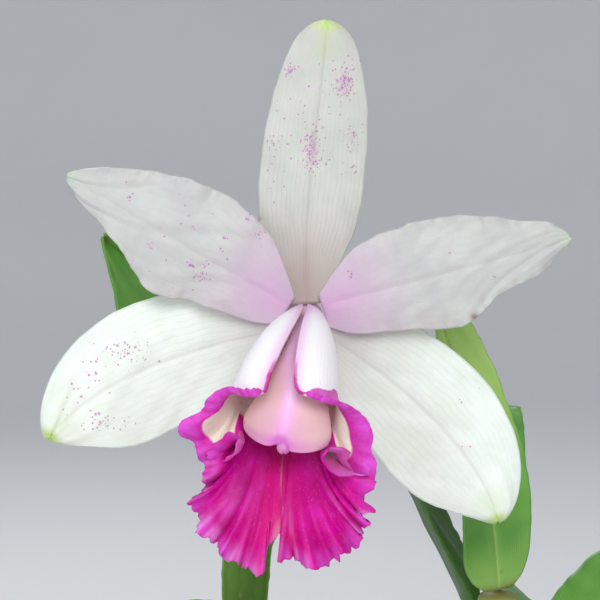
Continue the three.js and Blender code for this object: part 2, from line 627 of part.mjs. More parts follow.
const plant = new THREE.Group();
plant.add(piece('pot', makePot(), 'clay'));
plant.add(piece('bark_medium', makeBark(), 'bark'));
plant.add(piece('rhizome_and_roots', fromManifold(rootSystem(0)), 'rhizome'));
for (const bulb of BULBS) {
  plant.add(piece(bulb.name, makeBulb(bulb), 'bulb'));
}
for (const sheath of SHEATHS) {
  plant.add(piece(BULBS[sheath.bulb].name.replace('pseudobulb', 'sheath'), makeSheath(sheath), 'sheath'));
}
for (const { name, shape } of LEAVES) {
  plant.add(piece(name, bladeSolid(shape, 10, 4, LEAF_THICKNESS), 'leaf'));
}
plant.add(piece('spathe', makeSpathe(), 'stem'));
plant.add(piece('peduncle', makePeduncle(), 'stem'));
plant.add(piece('bract', bladeSolid(BRACT, 4, 2, 0.6), 'stem'));

const bloom = new THREE.Group();
bloom.position.copy(BLOOM_CENTRE);
bloom.add(piece('ovary', makeOvary(), 'stem'));
bloom.add(piece('sepal_dorsal', bladeSolid(DORSAL_SEPAL, 14, 6, TEPAL_THICKNESS), 'sepal'));
bloom.add(piece('sepal_left', bladeSolid(LEFT_SEPAL, 13, 6, TEPAL_THICKNESS), 'sepal'));
bloom.add(piece('sepal_right', bladeSolid(RIGHT_SEPAL, 13, 6, TEPAL_THICKNESS), 'sepal'));
bloom.add(piece('petal_left', bladeSolid(LEFT_PETAL, 20, 8, TEPAL_THICKNESS), 'petal'));
bloom.add(piece('petal_right', bladeSolid(RIGHT_PETAL, 20, 8, TEPAL_THICKNESS), 'petal'));
bloom.add(piece('lip', sheetSolid(12, 48, lipPoint, () => LIP_THICKNESS), 'lip'));
bloom.add(piece('column', makeColumn(), 'column'));
bloom.add(piece('anther_cap', makeAntherCap(), 'cap'));
plant.add(bloom);

export default plant;
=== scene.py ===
# %% [markdown]
# # A potted orchid in bloom
# The plant is a two-leaved cattleya: six cane-like bulbs in bark in a clay pot, leathery leaves, and one
# open bloom with pale sepals and petals round a ruffled magenta lip. The CAD frame gives every piece its
# place and its form in few faces. This file gives each one its fine shape and its finish.

# %% Load the frame
import math

import bpy
import numpy as np
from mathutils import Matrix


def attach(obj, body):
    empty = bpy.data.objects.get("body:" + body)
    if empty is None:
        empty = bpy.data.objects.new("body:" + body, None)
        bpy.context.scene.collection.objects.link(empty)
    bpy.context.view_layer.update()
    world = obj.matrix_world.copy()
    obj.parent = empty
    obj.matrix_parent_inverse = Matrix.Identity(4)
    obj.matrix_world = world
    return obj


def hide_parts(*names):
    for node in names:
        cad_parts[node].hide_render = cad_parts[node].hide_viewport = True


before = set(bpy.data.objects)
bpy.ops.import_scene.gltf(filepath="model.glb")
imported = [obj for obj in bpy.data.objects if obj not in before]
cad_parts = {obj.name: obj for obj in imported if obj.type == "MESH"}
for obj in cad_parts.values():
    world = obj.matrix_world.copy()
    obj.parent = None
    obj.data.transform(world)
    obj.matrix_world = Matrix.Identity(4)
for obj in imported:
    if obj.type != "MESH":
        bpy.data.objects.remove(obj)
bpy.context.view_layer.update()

MM = 0.001
print("CAD nodes:", len(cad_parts))

# %% [markdown]
# ## Curves and sections
# A plant has no straight edges, so its pieces are described by numbers: a curve for the midline, and a list
# of stations [place, value] for the width along it. These helpers turn such lists into smooth values, for
# many points at once. All lengths in them are in millimetres, and they become metres when a mesh is carried
# to them.

# %% Smooth values
def through(stations, place):
    """A smooth curve through given stations."""
    x, y = np.array(stations, float).T
    slope = np.empty(len(x))
    slope[1:-1] = (y[2:] - y[:-2]) / (x[2:] - x[:-2])
    slope[0] = (y[1] - y[0]) / (x[1] - x[0])
    slope[-1] = (y[-1] - y[-2]) / (x[-1] - x[-2])
    k = np.clip(np.searchsorted(x, place) - 1, 0, len(x) - 2)
    span = x[k + 1] - x[k]
    u = (place - x[k]) / span
    rise = y[k] * (1 + 2 * u) * (1 - u) ** 2 + y[k + 1] * u * u * (3 - 2 * u)
    return rise + span * (slope[k] * u * (1 - u) ** 2 - slope[k + 1] * u * u * (1 - u))


def smooth(value, low, high):
    """0 below low, 1 above high and an easy step between them."""
    share = np.clip((value - low) / (high - low), 0, 1)
    return share * share * (3 - 2 * share)


def hump(value, width):
    """1 where value is 0, and next to nothing from twice the width on."""
    return np.exp(-((value / width) ** 2))


def unit(vectors):
    return vectors / np.linalg.norm(vectors, axis=-1, keepdims=True)


# %% Curves and the axes on them
FRONT = (0, -1, 0)
UP = (0, 0, 1)


def bezier(points, u):
    """Points and directions of a cubic curve with four control points, each given or one row per u."""
    p0, p1, p2, p3 = (np.asarray(p, float) for p in points)
    u = np.asarray(u, float)[:, None]
    v = 1 - u
    point = p0 * v**3 + 3 * p1 * u * v * v + 3 * p2 * u * u * v + p3 * u**3
    slope = (p1 - p0) * v * v + 2 * (p2 - p1) * u * v + (p3 - p2) * u * u
    return point, unit(slope)


def spline(points, u):
    """A curve through all the points, with steps that follow their distances, so that it never loops."""
    p = np.array(points, float)
    p = np.vstack([2 * p[0] - p[1], p, 2 * p[-1] - p[-2]])
    place = np.clip(np.asarray(u, float), 0, 1) * (len(p) - 3)
    k = np.minimum(place.astype(int), len(p) - 4)
    w = (place - k)[:, None]
    a, b, c, d = p[k], p[k + 1], p[k + 2], p[k + 3]
    step = [np.sum((q - r) ** 2, axis=1, keepdims=True) ** 0.25 for q, r in ((b, a), (c, b), (d, c))]
    first = (b - a) / step[0] - (c - a) / (step[0] + step[1]) + (c - b) / step[1]
    last = (c - b) / step[1] - (d - b) / (step[1] + step[2]) + (d - c) / step[2]
    first, last = first * step[1], last * step[1]
    return b + first * w + (3 * (c - b) - 2 * first - last) * w**2 + (2 * (b - c) + first + last) * w**3


def curve_of(*points):
    """The cubic curve of four control points, ready to be asked for a place along it."""
    return lambda u: bezier(points, u)


def axes(point, along, front):
    """The point with two axes across the curve: up is as near to front as the curve allows."""
    front = np.broadcast_to(np.asarray(front, float), along.shape)
    up = unit(front - along * np.sum(front * along, axis=1, keepdims=True))
    return point, up, np.cross(up, along)


def around(section, angle, upward, sideways):
    """Points round a curve at an angle from its front. section is what axes gives, the reaches are in mm."""
    point, up, side = section
    return point + up * (upward * np.cos(angle))[:, None] + side * (sideways * np.sin(angle))[:, None]


# %% [markdown]
# ## Chance that repeats
# Living things are uneven, but the scene has to come out the same each time. So the uneven parts use a
# small number rule with a seed, or a sum of waves whose starts come from that rule.

# %% Seeded numbers and waves
def seeded(seed):
    """The same number rule as the CAD model uses, so that roots and chips lie where its solids are."""
    state = [seed]

    def draw():
        state[0] = (state[0] * 1664525 + 1013904223) % 2**32
        return state[0] / 2**32

    return draw


def wander(place, seed, waves=4):
    """An uneven line between about -1 and 1 that changes once per unit of place."""
    draw = seeded(seed * 7919 + 11)
    total = 0
    for k in range(waves):
        pace = 1.62**k * (0.8 + 0.4 * draw())
        total = total + np.sin(2 * np.pi * (place * pace + draw())) / 1.45**k
    return total / 1.9


print("wander from 0 to 1:", np.round(wander(np.linspace(0, 1, 5), 3), 2))

# %% [markdown]
# ## Three ways to start a piece
# Most pieces here start as a flat grid. A petal is a grid that is bent and then given its thickness. A bulb
# or a stalk is a grid rolled up, with its seam and ends merged. Pot, bark and floor are drawn ring by ring.
# The grid brings a UV map, so that veins can run along each piece. Its corners are carried in code, because
# no bend tool follows such curves.

# %% A grid, carried to its place
def named(name):
    """Names the piece that was just added."""
    piece = bpy.context.object
    piece.name = piece.data.name = name
    return piece


def start_grid(name, rows, columns):
    """A flat grid. Returns it with s from 0 to 1 along it and t from -1 to 1 across it, one per corner."""
    bpy.ops.mesh.primitive_grid_add(x_subdivisions=columns, y_subdivisions=rows, size=2)
    piece = named(name)
    flat = corners(piece)
    return piece, np.clip((flat[:, 1] + 1) / 2, 0, 1), np.clip(flat[:, 0], -1, 1)


def corners(piece):
    flat = np.empty(len(piece.data.vertices) * 3)
    piece.data.vertices.foreach_get("co", flat)
    return flat.reshape(-1, 3)


def carry(piece, points):
    piece.data.vertices.foreach_set("co", (points * MM).ravel())
    piece.data.update()


def mark(piece, **marks):
    """Keeps values at each corner, for a material to read."""
    for name, values in marks.items():
        attribute = piece.data.attributes.new(name, "FLOAT", "POINT")
        attribute.data.foreach_set("value", np.full(len(piece.data.vertices), values, np.float32))


def apply_modifier(piece, kind, **settings):
    bpy.context.view_layer.objects.active = piece
    modifier = piece.modifiers.new(kind.title(), kind)
    for key, value in settings.items():
        setattr(modifier, key, value)
    bpy.ops.object.modifier_apply(modifier=modifier.name)


def pick(*pieces):
    """Selects these pieces alone and makes the first one active."""
    bpy.ops.object.select_all(action="DESELECT")
    for piece in pieces:
        piece.select_set(True)
    bpy.context.view_layer.objects.active = pieces[0]


def join(*pieces):
    """Joins all these pieces into the first one."""
    pick(*pieces)
    bpy.ops.object.join()


# %% A sheet and a rolled stalk
def thicken(piece, thickness, thin, **settings):
    """Gives a sheet its thickness in mm. thin is the share of it that each corner keeps."""
    group = piece.vertex_groups.new(name="thin")
    for k, share in enumerate(thin):
        group.add([k], float(share), "REPLACE")
    settings.update(vertex_group="thin", thickness_vertex_group=0.0)
    apply_modifier(piece, "SOLIDIFY", thickness=thickness * MM, offset=0, **settings)
    piece.vertex_groups.clear()
    bpy.ops.object.shade_smooth()


def close_roll(piece):
    """Merges the seam and the ends of a rolled grid and turns its faces outwards."""
    bpy.ops.object.mode_set(mode="EDIT")
    bpy.ops.mesh.select_all(action="SELECT")
    bpy.ops.mesh.remove_doubles(threshold=0.002 * MM)
    bpy.ops.mesh.normals_make_consistent(inside=False)
    bpy.ops.object.mode_set(mode="OBJECT")
    bpy.ops.object.shade_smooth()


def round_ends(s, start, end):
    """A girth that closes over the first and last stretch of a roll, as a quarter circle does."""
    low = np.clip(s / start, 0, 1)
    high = np.clip((1 - s) / end, 0, 1)
    return np.sqrt(1 - (1 - low) ** 2) * np.sqrt(1 - (1 - high) ** 2)


def roll(name, rows, columns, curve, front, radius, ends=(0.02, 0.02)):
    """A closed stalk along curve(u), whose distance from it is radius(u, angle) with 0 at the front."""
    piece, s, t = start_grid(name, rows, columns)
    angle = t * np.pi
    girth = radius(s, angle) * round_ends(s, *ends)
    carry(piece, around(axes(*curve(s), front), angle, girth, girth))
    close_roll(piece)
    return piece


# %% A body drawn ring by ring
def draw_rings(profile, extrude, length):
    """Draws the selected ring on through a profile of (radius, height), given in units of length."""
    for (radius, height), (next_radius, next_height) in zip(profile, profile[1:]):
        extrude(TRANSFORM_OT_translate={"value": (0, 0, (next_height - height) * length)})
        ratio = next_radius / radius
        bpy.ops.transform.resize(value=(ratio, ratio, 1), center_override=(0, 0, next_height * length))


def turned(name, segments, profile):
    """A round body with this profile in mm, filled at both ends."""
    radius, height = profile[0]
    bpy.ops.mesh.primitive_circle_add(vertices=segments, radius=radius * MM, location=(0, 0, height * MM))
    bpy.ops.object.transform_apply(location=True, rotation=False, scale=False)
    bpy.ops.object.mode_set(mode="EDIT")
    bpy.ops.mesh.select_all(action="SELECT")
    draw_rings(profile, bpy.ops.mesh.extrude_region_move, MM)
    bpy.ops.mesh.edge_face_add()
    bpy.ops.mesh.select_all(action="DESELECT")
    bpy.ops.mesh.select_non_manifold()
    bpy.ops.mesh.edge_face_add()
    bpy.ops.mesh.select_all(action="SELECT")
    bpy.ops.mesh.normals_make_consistent(inside=False)
    bpy.ops.object.mode_set(mode="OBJECT")
    return named(name)


def dress(piece, slot, finishes, *nodes):
    """Gives a piece its materials, parents it to the root, hides the CAD nodes it stands for. slot is not
    used.
    """
    for finish in finishes:
        piece.data.materials.append(finish)
    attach(piece, "root")
    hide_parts(*nodes)
    piece.data.calc_loop_triangles()
    print(f"{piece.name}: {len(piece.data.loop_triangles)} triangles")


# %% [markdown]
# ## Shader helpers
# A finish is a small network of nodes. These helpers add a node, mix two colours and set a ramp, so that
# each material below reads as a short recipe. Colours are given as the eye sees them, 0 to 255.

# %% Nodes in few words
def node(tree, kind, sockets, **settings):
    made = tree.nodes.new("ShaderNode" + kind)
    for key, value in settings.items():
        setattr(made, key, value)
    for key, value in sockets.items():
        if isinstance(value, bpy.types.NodeSocket):
            tree.links.new(value, made.inputs[key])
        else:
            made.inputs[key].default_value = value
    return made


def tint(colour):
    """Red, green and blue as the shader takes them. A socket stays as it is."""
    if isinstance(colour, bpy.types.NodeSocket):
        return colour
    shares = [c / 255 for c in colour]
    return (*(c / 12.92 if c <= 0.04045 else ((c + 0.055) / 1.055) ** 2.4 for c in shares), 1)


def attribute(tree, name):
    return node(tree, "Attribute", {}, attribute_name=name).outputs["Fac"]


def mix(tree, share, first, second):
    """Lays the second colour over the first. share is a socket, or the name of a value kept in the mesh."""
    if isinstance(share, str):
        share = attribute(tree, share)
    return node(tree, "Mix", {0: share, 6: tint(first), 7: tint(second)}, data_type="RGBA").outputs[2]


def maths(tree, operation, *values):
    return node(tree, "Math", dict(enumerate(values)), operation=operation).outputs[0]


def scaled(tree, value, factor, plus=0.0):
    return maths(tree, "MULTIPLY_ADD", value, factor, plus)


def between(tree, value, low, high, to_low=0.0, to_high=1.0):
    """An easy step from to_low at low to to_high at high."""
    sockets = {0: value, 1: low, 2: high, 3: to_low, 4: to_high}
    return node(tree, "MapRange", sockets, interpolation_type="SMOOTHSTEP").outputs[0]


def noise(tree, where, scale, detail=3.0, rough=0.55, bend=0.0):
    sockets = {"Vector": where, "Scale": scale, "Detail": detail, "Roughness": rough, "Distortion": bend}
    return node(tree, "TexNoise", sockets).outputs["Fac"]


def stretched(tree, where, *scale):
    return node(tree, "Mapping", {"Vector": where, "Scale": scale}).outputs[0]


def ramp(tree, value, stops):
    made = node(tree, "ValToRGB", {0: value})
    band = made.color_ramp
    while len(band.elements) < len(stops):
        band.elements.new(0.5)
    for element, (place, colour) in zip(band.elements, stops):
        element.position = place
        element.color = tint(colour)
    return made.outputs[0]


# %% A material and a node group
def new_material(name, **constants):
    """A material with its shader; constants go on the shader's own sockets."""
    material = bpy.data.materials.new(name)
    material.use_nodes = True
    tree = material.node_tree
    shader = tree.nodes["Principled BSDF"]
    for key, value in constants.items():
        shader.inputs[key.replace("_", " ")].default_value = value
    place = node(tree, "TexCoord", {})
    return material, tree, shader, place.outputs["Object"], place.outputs["UV"]


def finish(tree, shader, colour, height, depth, rough=None):
    """Joins the colour, a relief whose depth is in mm, and the roughness where it varies."""
    tree.links.new(colour, shader.inputs["Base Color"])
    bump = node(tree, "Bump", {"Height": height, "Distance": depth * MM, "Strength": 1.0})
    tree.links.new(bump.outputs[0], shader.inputs["Normal"])
    if rough is not None:
        tree.links.new(rough, shader.inputs["Roughness"])


def new_group(name, inputs, outputs):
    """A shared effect. Inputs have a default number, or None for a vector; outputs are numbers."""
    group = bpy.data.node_groups.new(name, "ShaderNodeTree")
    for label, value in inputs.items():
        kind = "NodeSocketVector" if value is None else "NodeSocketFloat"
        socket = group.interface.new_socket(label, in_out="INPUT", socket_type=kind)
        if value is not None:
            socket.default_value = value
    for label in outputs:
        group.interface.new_socket(label, in_out="OUTPUT", socket_type="NodeSocketFloat")
    return group, group.nodes.new("NodeGroupInput").outputs, group.nodes.new("NodeGroupOutput").inputs


def use(tree, group, **sockets):
    return node(tree, "Group", sockets, node_tree=group).outputs


# %% [markdown]
# ## Effects that several finishes share
# Veins run along sepals, petals, leaves and sheaths alike, only their number and depth differ. Specks lie
# in loose clusters on the bloom, and as blemishes on leaves and bulbs. Fine tissue has a grain like sugar.
# Each effect is one node group that gives a mask or a height, and every material sets its own values.

# %% Veins along a piece
veins, pin, pout = new_group("veins_along", {"UV": None, "Count": 24.0, "Waver": 0.3}, ["Line", "Height"])
parts = node(veins, "SeparateXYZ", {0: pin["UV"]})
drift = maths(veins, "SUBTRACT", noise(veins, stretched(veins, pin["UV"], 3.0, 9.0, 1.0), 1.0, 2.0), 0.5)
phase = scaled(veins, parts.outputs[0], pin["Count"], scaled(veins, drift, pin["Waver"]))
wave = maths(veins, "PINGPONG", phase, 0.5)
veins.links.new(between(veins, wave, 0.0, 0.16, 1.0, 0.0), pout["Line"])
veins.links.new(between(veins, wave, 0.0, 0.5), pout["Height"])

# %% Specks in clusters
speck_inputs = {"Vector": None, "Scale": 900.0, "Density": 0.5, "Size": 0.3}
specks, pin, pout = new_group("specks", speck_inputs, ["Mask"])
cells = node(specks, "TexVoronoi", {"Vector": pin["Vector"], "Scale": pin["Scale"]})
chance = node(specks, "SeparateColor", {0: cells.outputs["Color"]})
present = maths(specks, "LESS_THAN", chance.outputs[0], pin["Density"])
reach = scaled(specks, pin["Size"], maths(specks, "ADD", chance.outputs[1], 0.35))
inside = between(specks, maths(specks, "DIVIDE", cells.outputs["Distance"], reach), 1.15, 0.6)
specks.links.new(scaled(specks, present, inside), pout["Mask"])

# %% Tissue grain
grain, pin, pout = new_group("tissue_grain", {"Vector": None, "Scale": 2500.0}, ["Height", "Mottle"])
sugar = node(grain, "TexVoronoi", {"Vector": pin["Vector"], "Scale": pin["Scale"]}).outputs["Distance"]
soft = noise(grain, pin["Vector"], scaled(grain, pin["Scale"], 0.35))
grain.links.new(scaled(grain, sugar, 0.6, soft), pout["Height"])
slow = noise(grain, pin["Vector"], scaled(grain, pin["Scale"], 0.05), 4.0, 0.6)
grain.links.new(between(grain, slow, 0.3, 0.7), pout["Mottle"])

# %% How near the margin of a sheet
margin, pin, pout = new_group("margin", {"UV": None}, ["Edge", "Along"])
parts = node(margin, "SeparateXYZ", {0: pin["UV"]})
margin.links.new(maths(margin, "ABSOLUTE", scaled(margin, parts.outputs[0], 2.0, -1.0)), pout["Edge"])
margin.links.new(parts.outputs[1], pout["Along"])
print("shared effects:", [group.name for group in (veins, specks, grain, margin)])

# %% [markdown]
# ## The pale finish of sepals and petals
# The tissue is nearly white, with a grain that sparkles a little and a faint glow through it. Sepals have
# many fine grey-green veins, a greenish tip and a brownish blush at the base. Petals are smoother, with a
# lilac blush where they meet. Magenta specks lie in clusters, which the mesh marks. The dorsal sepal and
# the petals are darker copies of the lateral sepals' tissue, as painted shade.

# %% Sepal and petal finish
def pale_tissue(name, body, shade, base, tip, vein_colour, vein_count, vein_share):
    material, tree, shader, place, uv = new_material(
        name, Subsurface_Weight=0.18, Subsurface_Scale=0.003, Sheen_Weight=0.12, Specular_IOR_Level=0.42
    )
    sugar = use(tree, grain, Vector=place, Scale=2600.0)
    lines = use(tree, veins, UV=uv, Count=vein_count, Waver=1.8)
    sheet = use(tree, margin, UV=uv)
    colour = mix(tree, sugar["Mottle"], body, shade)
    share = scaled(tree, lines["Line"], between(tree, sheet["Along"], 0.0, 0.85, vein_share, 0.1))
    colour = mix(tree, share, colour, vein_colour)
    colour = mix(tree, between(tree, sheet["Edge"], 0.0, 0.07, 0.3, 0.0), colour, vein_colour)
    colour = mix(tree, "base_blush", colour, base)
    colour = mix(tree, "tip_tint", colour, tip)
    density = maths(tree, "POWER", attribute(tree, "speck_density"), 1.2)
    for scale, size, strength in ((1250.0, 0.42, 0.6), (2100.0, 0.5, 0.7)):
        dots = use(tree, specks, Vector=place, Scale=scale, Density=density, Size=size)
        colour = mix(tree, scaled(tree, dots["Mask"], strength), colour, (176, 62, 168))
    smear = scaled(tree, between(tree, density, 0.3, 1.2, 0.0, 0.5), noise(tree, place, 900.0))
    colour = mix(tree, smear, colour, (190, 104, 188))
    colour = mix(tree, "bruise", colour, (118, 92, 66))
    height = scaled(tree, lines["Height"], vein_share, sugar["Height"])
    finish(tree, shader, colour, height, 0.04, scaled(tree, sugar["Height"], 0.16, 0.36))
    return material


# Painted shade: the dorsal sepal and the petals get darker copies of the pale tissue, for the shade on them.
DORSAL_SHADED_FINISH = pale_tissue("dorsal_sepal_shaded_tissue", (206, 209, 204), (196, 203, 195), (164, 136, 132),
                            (200, 224, 140), (166, 160, 154), 22.0, 0.3)
SEPAL_FINISH = pale_tissue("sepal_tissue", (238, 244, 238), (228, 236, 226), (168, 158, 162),
                           (176, 204, 116), (192, 192, 188), 20.0, 0.2)
PETAL_SHADED_FINISH = pale_tissue("petal_shaded_tissue", (200, 205, 201), (191, 193, 193), (217, 168, 214),
                           (196, 218, 172), (186, 184, 184), 14.0, 0.28)
print("pale finishes:", DORSAL_SHADED_FINISH.name, SEPAL_FINISH.name, PETAL_SHADED_FINISH.name)

# %% [markdown]
# ## Sepals and petals
# Three sepals stand behind two petals. Each is a grid bent along its midrib, as the CAD blade is, with what
# the solid leaves out: a shallow groove on the midrib, margins that waver, small nicks, and a thin edge.
# Sheets could be sculpted, but stations keep each outline where the frame has it.

# %% The blade and its fine shape
BLOOM = np.array([-8.0, -42.0, 330.0])
FACE = [FRONT, FRONT]


def blade(shape, s, t):
    """Points of a leaf, sepal or petal: midrib curve, half widths on both sides, bending and waves."""
    turn = np.array(shape.get("facing", FACE), float)
    front = turn[0] + (turn[1] - turn[0]) * s[:, None]
    point, up, side = axes(*bezier(shape["rib"], s), front)
    width = np.where(t < 0, through(shape["left"], s), through(shape["right"], s)) * shape.get("widen", 1)
    width = width * (1 + shape.get("fray", 0) * smooth(s, 0.1, 0.3) * wander(s * 6 + (t < 0) * 3.7, 5))
    width = width * np.sqrt(1 - 0.9 * np.clip((s - 0.985) / 0.015, 0, 1) ** 2)
    height, count, phase = shape.get("wave", (0, 0, 0))
    swell = smooth(s, 0.04, 0.42)
    turns = 2 * np.pi * (count * s + (t < 0) * phase)
    ripple = height * np.abs(t) ** 2.2 * (1 - s**6) * np.sin(turns)
    ripple = ripple + shape.get("crisp", 0) * np.abs(t) ** 5 * wander(s * 8 + (t < 0) * 1.9, 8)
    bend = shape.get("cup", 0) * t * t + shape.get("fold", 0) * np.abs(t)
    lift = swell * (bend + ripple) + shape.get("billow", 0) * swell * wander(s * 1.6 + t * 0.7, 4)
    groove = shape.get("groove", 0) * hump(t * width, 0.9) * (1 - s**3) * smooth(s, 0, 0.1)
    return point - side * (width * t)[:, None] + up * (lift - groove)[:, None]


# %% Tepals: sepals and petals are made alike
TEPAL_THICKNESS = 0.9
BRUISES = [(38.6, 0.6, 1.0, 0.8, 0.9), (-10.6, 22.6, 0.6, 0.5, 0.5)]


def spot_density(points, spots):
    """How thickly specks lie at each point: spots are (x, z, reach across, reach up, strength)."""
    total = np.zeros(len(points))
    for x, z, wide, tall, strength in spots:
        total += strength * np.exp(-(((points[:, 0] - x) / wide) ** 2 + ((points[:, 2] - z) / tall) ** 2))
    return total


def toward_tip(s):
    """Places the rows of a grid closer together towards the tip, where the outline turns fastest."""
    return 1 - (1 - s) ** 1.2


def make_tepal(name, shape, rows, columns, finish, blush, tip):
    piece, s, t = start_grid(name, rows, columns)
    s = toward_tip(s)
    points = blade(shape, s, t)
    greening = smooth(s, 0.955, 0.995) * (1 - 0.4 * np.abs(t)) + 0.3 * smooth(s, 0.82, 0.97) * hump(t, 0.4)
    mark(piece, speck_density=spot_density(points, shape["spots"]), bruise=spot_density(points, BRUISES),
         base_blush=blush * smooth(s, 0.42, 0.02) * (1 - 0.45 * np.abs(t)),
         tip_tint=(tip * greening).clip(0, 1))
    carry(piece, points + BLOOM)
    thicken(piece, TEPAL_THICKNESS, 1 - 0.62 * np.abs(t) ** 3 * smooth(s, 0.0, 0.2))
    dress(piece, name.split("_")[0], [finish], name)


# %% The three sepals
INNER_WIDTH = [[0, 3.4], [0.1, 8], [0.25, 12.8], [0.43, 14.7], [0.57, 15.9], [0.7, 15.3], [0.82, 12.4],
               [0.92, 7.4], [0.97, 3.8], [1, 1.2]]
OUTER_WIDTH = [[0, 3.4], [0.1, 8], [0.25, 12.8], [0.43, 14.5], [0.57, 14.7], [0.7, 13.1], [0.82, 10.2],
               [0.92, 6.2], [0.97, 3.4], [1, 1.2]]
LATERAL = {"cup": -2, "groove": 0.3, "billow": 0.3, "fray": 0.006}
SEPALS = {
    "sepal_dorsal": {
        "rib": [(0.5, 0.6, 3.2), (-1, 4, 24), (3.5, 6, 46), (5, 2, 68)],
        "left": [[0, 4.2], [0.12, 7.6], [0.3, 11.2], [0.5, 11.9], [0.7, 11], [0.85, 8.9], [0.94, 6.4],
                 [0.98, 3.6], [1, 1.2]],
        "right": [[0, 4.2], [0.12, 7.2], [0.3, 11.5], [0.5, 12.4], [0.7, 11.5], [0.85, 9], [0.94, 6.4],
                  [0.98, 3.8], [1, 1.2]],
        "cup": -1.5, "wave": (0.5, 3, 0.4), "groove": 0.3, "billow": 0.25, "fray": 0.008,
        "spots": [(-3, 57, 1.7, 1.7, 0.75), (9.2, 54, 1.8, 4, 0.95), (10.3, 41.5, 1.8, 2.4, 0.6),
                  (1.6, 38.5, 2.4, 5.5, 0.9), (-6.9, 40, 1.5, 10, 0.14), (10.8, 34, 1.6, 1.6, 0.3),
                  (2, 50, 9, 12, 0.05)],
    },
    "sepal_left": {
        "rib": [(-4, 0.6, -2.5), (-22, 3, -6), (-47, 0, -12), (-58.4, -7, -27)],
        "left": INNER_WIDTH, "right": OUTER_WIDTH, "wave": (0.7, 2.5, 0.3), **LATERAL,
        "spots": [(-41, -7.4, 4.4, 2.6, 0.55), (-46.5, -24, 3.2, 1.8, 0.6), (-40, -24.6, 1.2, 1.2, 0.5),
                  (-50, -15, 4, 4.5, 0.16)],
    },
    "sepal_right": {
        "rib": [(4, 0.6, -3.5), (16, 3, -11), (41, 0, -29), (44, -7, -46)],
        "left": OUTER_WIDTH, "right": INNER_WIDTH, "wave": (0.7, 2.5, 0.6), **LATERAL,
        "spots": [(35.9, -19.6, 0.8, 0.8, 0.5), (37, -29, 1.2, 1.2, 0.35), (39.8, -16.8, 0.6, 0.6, 0.3)],
    },
}
for name, shape in SEPALS.items():
    tissue, blush = (DORSAL_SHADED_FINISH, 0.8) if name == "sepal_dorsal" else (SEPAL_FINISH, 0.6)
    make_tepal(name, shape, 110, 48, tissue, blush, 0.95)

# %% The two petals
PETAL = {"cup": -1, "groove": 0.4, "billow": 0.45, "fray": 0.018, "crisp": 0.45}
PETALS = {
    "petal_left": {
        "rib": [(-3.6, -0.8, 2.9), (-20, -5, 13), (-38, -7, 23), (-54.3, 0, 32.7)],
        "left": [[0, 5], [0.1, 7.6], [0.3, 10], [0.5, 13.3], [0.58, 11.4], [0.66, 8.8], [0.8, 5.4], [0.9, 4],
                 [0.96, 2.2], [1, 1.2]],
        "right": [[0, 2.2], [0.11, 7.7], [0.2, 11.6], [0.38, 14.4], [0.55, 13.7], [0.7, 11.2], [0.85, 7.2],
                  [0.95, 3.8], [1, 1.2]],
        "wave": (1.1, 4, 0.35), **PETAL,
        "spots": [(-40, 27.6, 0.7, 0.7, 0.9), (-25.5, 21, 0.7, 0.7, 0.9), (-35.2, 17, 0.8, 0.8, 0.9),
                  (-26, 12.4, 1, 0.8, 0.9), (-22.8, 12.7, 0.7, 0.7, 0.9), (-23.7, 10.1, 1.2, 0.8, 0.9),
                  (-18.2, 18.9, 0.7, 0.7, 0.9), (-11, 19.6, 0.9, 0.7, 0.9), (-12.7, 23, 0.7, 0.7, 0.9),
                  (-26, 18, 14, 9, 0.03)],
    },
    "petal_right": {
        "rib": [(3.9, -0.8, 2.9), (22, -5, 8), (42, -7, 13.5), (60.7, -1, 18.4)],
        "left": [[0, 2.6], [0.1, 7.5], [0.2, 11.2], [0.4, 12.8], [0.55, 12.3], [0.7, 10.1], [0.82, 7.1],
                 [0.94, 4.6], [1, 1.2]],
        "right": [[0, 5], [0.1, 8.2], [0.3, 10.4], [0.5, 13], [0.6, 10.7], [0.7, 7.8], [0.85, 6],
                  [0.94, 3.4], [1, 1.2]],
        "wave": (1.1, 4, 0.6), **PETAL,
        "spots": [(10.8, 10.1, 0.7, 0.7, 0.9), (42.8, 9.2, 0.7, 0.7, 0.9), (28, 14, 16, 8, 0.008)],
    },
}
for name, shape in PETALS.items():
    make_tepal(name, shape, 120, 52, PETAL_SHADED_FINISH, 0.8, 0.35)

# %% [markdown]
# ## The lip
# The lip is one sheet. Its sides roll up into a tube that is open along its top and hides all but the front
# of the column. At the mouth the sheet flares: two side lobes with a ruffled magenta rim and cream inner
# faces, and a front lobe in two frilled halves. Each vein of the sheet starts on the tube and ends at one
# place of the margin, so the whole form is two rules: where the tube is, and where the margin is.

# %% The tube and the free margin
LIP_AXIS = [(0, -1.7, -0.3), (0, -14, -2), (-3.5, -22, -9), (-5, -24, -19.5)]
LIP_FRONT = (0, -0.6, 0.8)
LIP_TUBE_RADIUS = [[0, 3.4], [0.25, 6], [0.5, 8.8], [0.75, 10.8], [1, 12]]
LIP_SLIT = [[0, 0.5], [0.4, 0.8], [0.7, 2.2], [1, 4.4]]
LIP_TUBE_SHARE = 0.45
LIP_THICKNESS = 0.75
LIP_FOCUS = np.array([-5.0, -27.0, -28.0])
